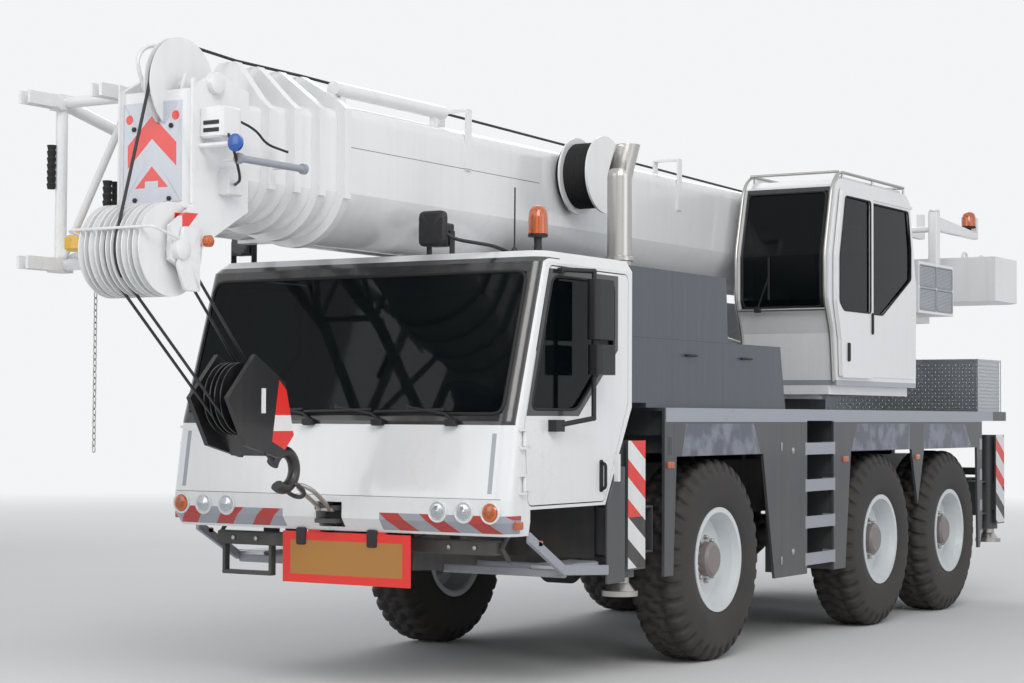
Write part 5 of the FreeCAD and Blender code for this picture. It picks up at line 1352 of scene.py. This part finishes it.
def makeRopes(detail):
    y, z, collars, sections = (detail[key] for key in ("side", "height", "collars", "sections"))
    dress("hoistRopeBase", "boom_base", ropeSteel, "steel",
          [(tube, (*detail["start"], (collars[0], y, z)), detail["radius"])])
    dress("ropeFairlead", "boom_base", whitePaint, "white_paint", {
        "block": (slab, (-4790, -4660), (y - 45, y + 45), (3455, 3530), 10, 20),
        "roller": (lathe, ((-52, 20), (-50, 34), (50, 34), (52, 20)), (-4640, y, 3470), "y")})
    # one run for each collar; the last one rises to the head
    stops = np.array([*((x, y, z) for x in collars), detail["headEntry"]])
    for first, last, a, b in zip(stops, stops[1:], sections, sections[1:]):
        ropeRun(detail, f"hoistRope_{b}", [first, (first + last) / 2, last])
    # over the top sheave: the straight run meets the circle where it is square to the circle's radius
    x0, z0, r0 = detail["topSheave"]
    x1, z1, r1 = detail["lowSheave"]
    far, high = x0 - collars[-1], z0 - z
    lean = math.atan2(high, far) + math.asin(r0 / math.hypot(far, high))
    over = np.linspace(math.pi / 2 + lean, 0.0, 16)
    arc = np.column_stack([x0 + r0 * np.cos(over), np.full(16, y), z0 + r0 * np.sin(over)])
    # down to the low sheave, and on round it to where the falls begin
    out, down = x1 - x0 - r0, z0 - z1
    drop = math.atan2(out, down) + math.asin(r1 / math.hypot(out, down))
    turns = np.linspace(drop, detail["wrapFrom"], 4), np.linspace(detail["wrapFrom"], detail["wrapTo"], 14)
    low, wrap = (np.column_stack([x1 + r1 * np.cos(turn), np.full(len(turn), y + detail["lowShift"]),
                                  z1 + r1 * np.sin(turn)]) for turn in turns)
    ropeRun(detail, "hoistRope_hook_block", wrap)
    dress("hoistRopeHead", "boom_head", ropeSteel, "steel",
          [(tube, np.concatenate([stops[-1:], arc, low]), detail["radius"])])
    dress("cableWinding", "boom_base", sealRubber, "tyre_rubber",
          [(woundRope, (490, 0, 3290), 356, 15, 18.0, (214.0, 224.0), 44)])


# the boom head's fittings and the chain that hangs from it

chainDetail = {"place": (4470, -296, 2290), "step": (0, 0, -66), "count": 13,
               "wire": 3.2, "radii": (9, 12), "straight": 8}


def chainLink(detail, turned):
    # a stadium: an ellipse whose halves stand apart by the straight part
    angle = np.arange(14) * 2 * np.pi / 14
    wide, high = detail["radii"]
    link = np.column_stack([wide * np.cos(angle), np.zeros(14),
                            high * np.sin(angle) + detail["straight"] * np.sign(np.sin(angle))])
    return tube(link[:, [1, 0, 2]] if turned else link, detail["wire"], 6, closed=True)


def makeChain(detail):
    # every second link is turned a quarter and hangs half a step lower
    place, step = np.array(detail["place"]), np.array(detail["step"])
    parts = [repeated(chainLink(detail, turned), rowOf(place + turned * step / 2, step, detail["count"]))
             for turned in (0, 1)]
    makePiece("headChain", parts, "boom_head", brightSteel)


sheaveCap = ((262, 60), (300, 58), (306, 40))
hornPlate = ((4300, 2300), (4420, 2300), (4480, 2420), (4440, 2640), (4300, 2640))
tubeCap = ((0, 30), (24, 30), (26, 22))
plateBolt = ((0, 14), (9, 14), (12, 8))
headPieces = {
    "headFittings": ("boom_head", whitePaint, "white_paint", {
        "box": (slab, (4130, 4290), (262, 420), (3120, 3290), 10, 14),
        "lowBox": (slab, (4010, 4130), (258, 335), (2830, 2970), 8, 10),
        "plateFoot": (slab, (4318, 4350), (-262, 262), (2742, 2766), 4),
        "leftRail": (slab, (4318, 4352), (249, 261), (2766, 3440), 3),
        "rightRail": (slab, (4318, 4352), (-261, -249), (2766, 3440), 3),
        "discArm": (tube, ((4285, 262, 3080), (4285, 560, 3080)), 15),
        "leftHorn": (prism, hornPlate, "y", (268, 290), 4, 20),
        "rightHorn": (prism, hornPlate, "y", (-290, -268), 4, 20),
        "ropeGuard": (bent, ((4440, -296, 2560), (4689.5, -296, 2621), (4689.5, 296, 2621), (4440, 296, 2560)), 30, 8),
        "topLoop": (bent, ((4330, -90, 3400), (4400, -90, 3560), (4330, -90, 3640), (4180, -90, 3668)), 60, 12),
        "lowCap": (lathe, sheaveCap, (4450, 0, 2520), "y"),
        "topCap": (lathe, sheaveCap, (4180, 0, 3430), "y"),
        "rearStud": (tube, ((3760, 345, 3010), (3760, 470, 3010)), 11),
        "frontStud": (tube, ((4180, 345, 3010), (4180, 470, 3010)), 11)}),
    "headPlate": ("boom_head", headPaint, "white_paint", {
        "plate": (slab, (4318, 4328), (-240, 172), (2786, 3332), 3, 10, "x")}),
    "headTube": ("boom_head", stepPaint, "steel", {
        "tube": (tube, ((3650, 470, 3010), (4224, 470, 3010)), 20),
        "rearCap": (lathe, tubeCap, (3640, 470, 3010), "x", 16),
        "frontCap": (lathe, tubeCap, (4200, 470, 3010), "x", 16)}),
    "headDarkBits": ("boom_head", blackPlastic, "interior_plastic", {
        "slots": (copies, [(slab, (4286, 4294), (290, 396), (0, 22), 2, 3, "x")], ((0, 0, 3190), (0, 0, 3150))),
        "bolts": (copies, [(lathe, plateBolt, (4328, 0, 0), "x", 6)],
                  ((0, -160, 3190), (0, 100, 3196), (0, -150, 2805), (0, 90, 2805))),
        "hangingHose": (bent, ((4240, 420, 3140), (4250, 470, 3040), (4170, 450, 2900), (4080, 340, 2890)), 60, 8, 7),
        "boxHose": (bent, ((4130, 340, 3250), (3960, 380, 3200), (3860, 372, 3130), (3660, 366, 3110)), 80, 7, 7)}),
    "headDisc": ("boom_head", bluePaint, "steel", {
        "disc": (lathe, ((0, 44), (4, 47), (22, 47), (26, 42)), (4290, 520, 3080), "x", 36)}),
    "headMarker": ("boom_head", amberLens, "glass", {
        "lens": (lathe, ((0, 26), (6, 32), (34, 32), (44, 22), (46, 4)), (4265, 290, 2572), "y", 24)}),
}

# the stowed jib: ribbed rollers in pairs, the pump and the pipe along the chord


def ribbedRoller(place, low, high, ribs=7):
    profile = np.column_stack([np.repeat(np.linspace(low, high, ribs), 2) + np.tile([-14, 14], ribs),
                               np.tile([21.0, 27.0], ribs)])
    return lathe(profile, place, "z", 16)


jibPieces = {
    "jibRollers": ("boom_base", sealRubber, "tyre_rubber", {
        "outerRear": (ribbedRoller, (4028, -994, 0), 2948, 3172),
        "outerFront": (ribbedRoller, (4096, -994, 0), 2948, 3172),
        "innerRear": (ribbedRoller, (4213, -395, 0), 2686, 2917),
        "innerFront": (ribbedRoller, (4281, -395, 0), 2686, 2917)}),
    "jibPump": ("boom_base", yellowPaint, "steel", {
        "block": (slab, (4060, 4240), (-760, -640), (2560, 2650), 14, 20),
        "cap": (lathe, ((-40, 30), (40, 30)), (4150, -700, 2660), "y", 18)}),
    "jibPipes": ("boom_base", whitePaint, "white_paint", {
        "pipe": (bent, ((3200, -965, 3232), (0, -965, 3232), (-2400, -965, 3232), (-4100, -965, 3232)), 40, 9)}),
}

makeRopes(ropeDetail)
dressAll(headPieces)
makeChain(chainDetail)
dressAll(jibPieces)
print("boom dressed")
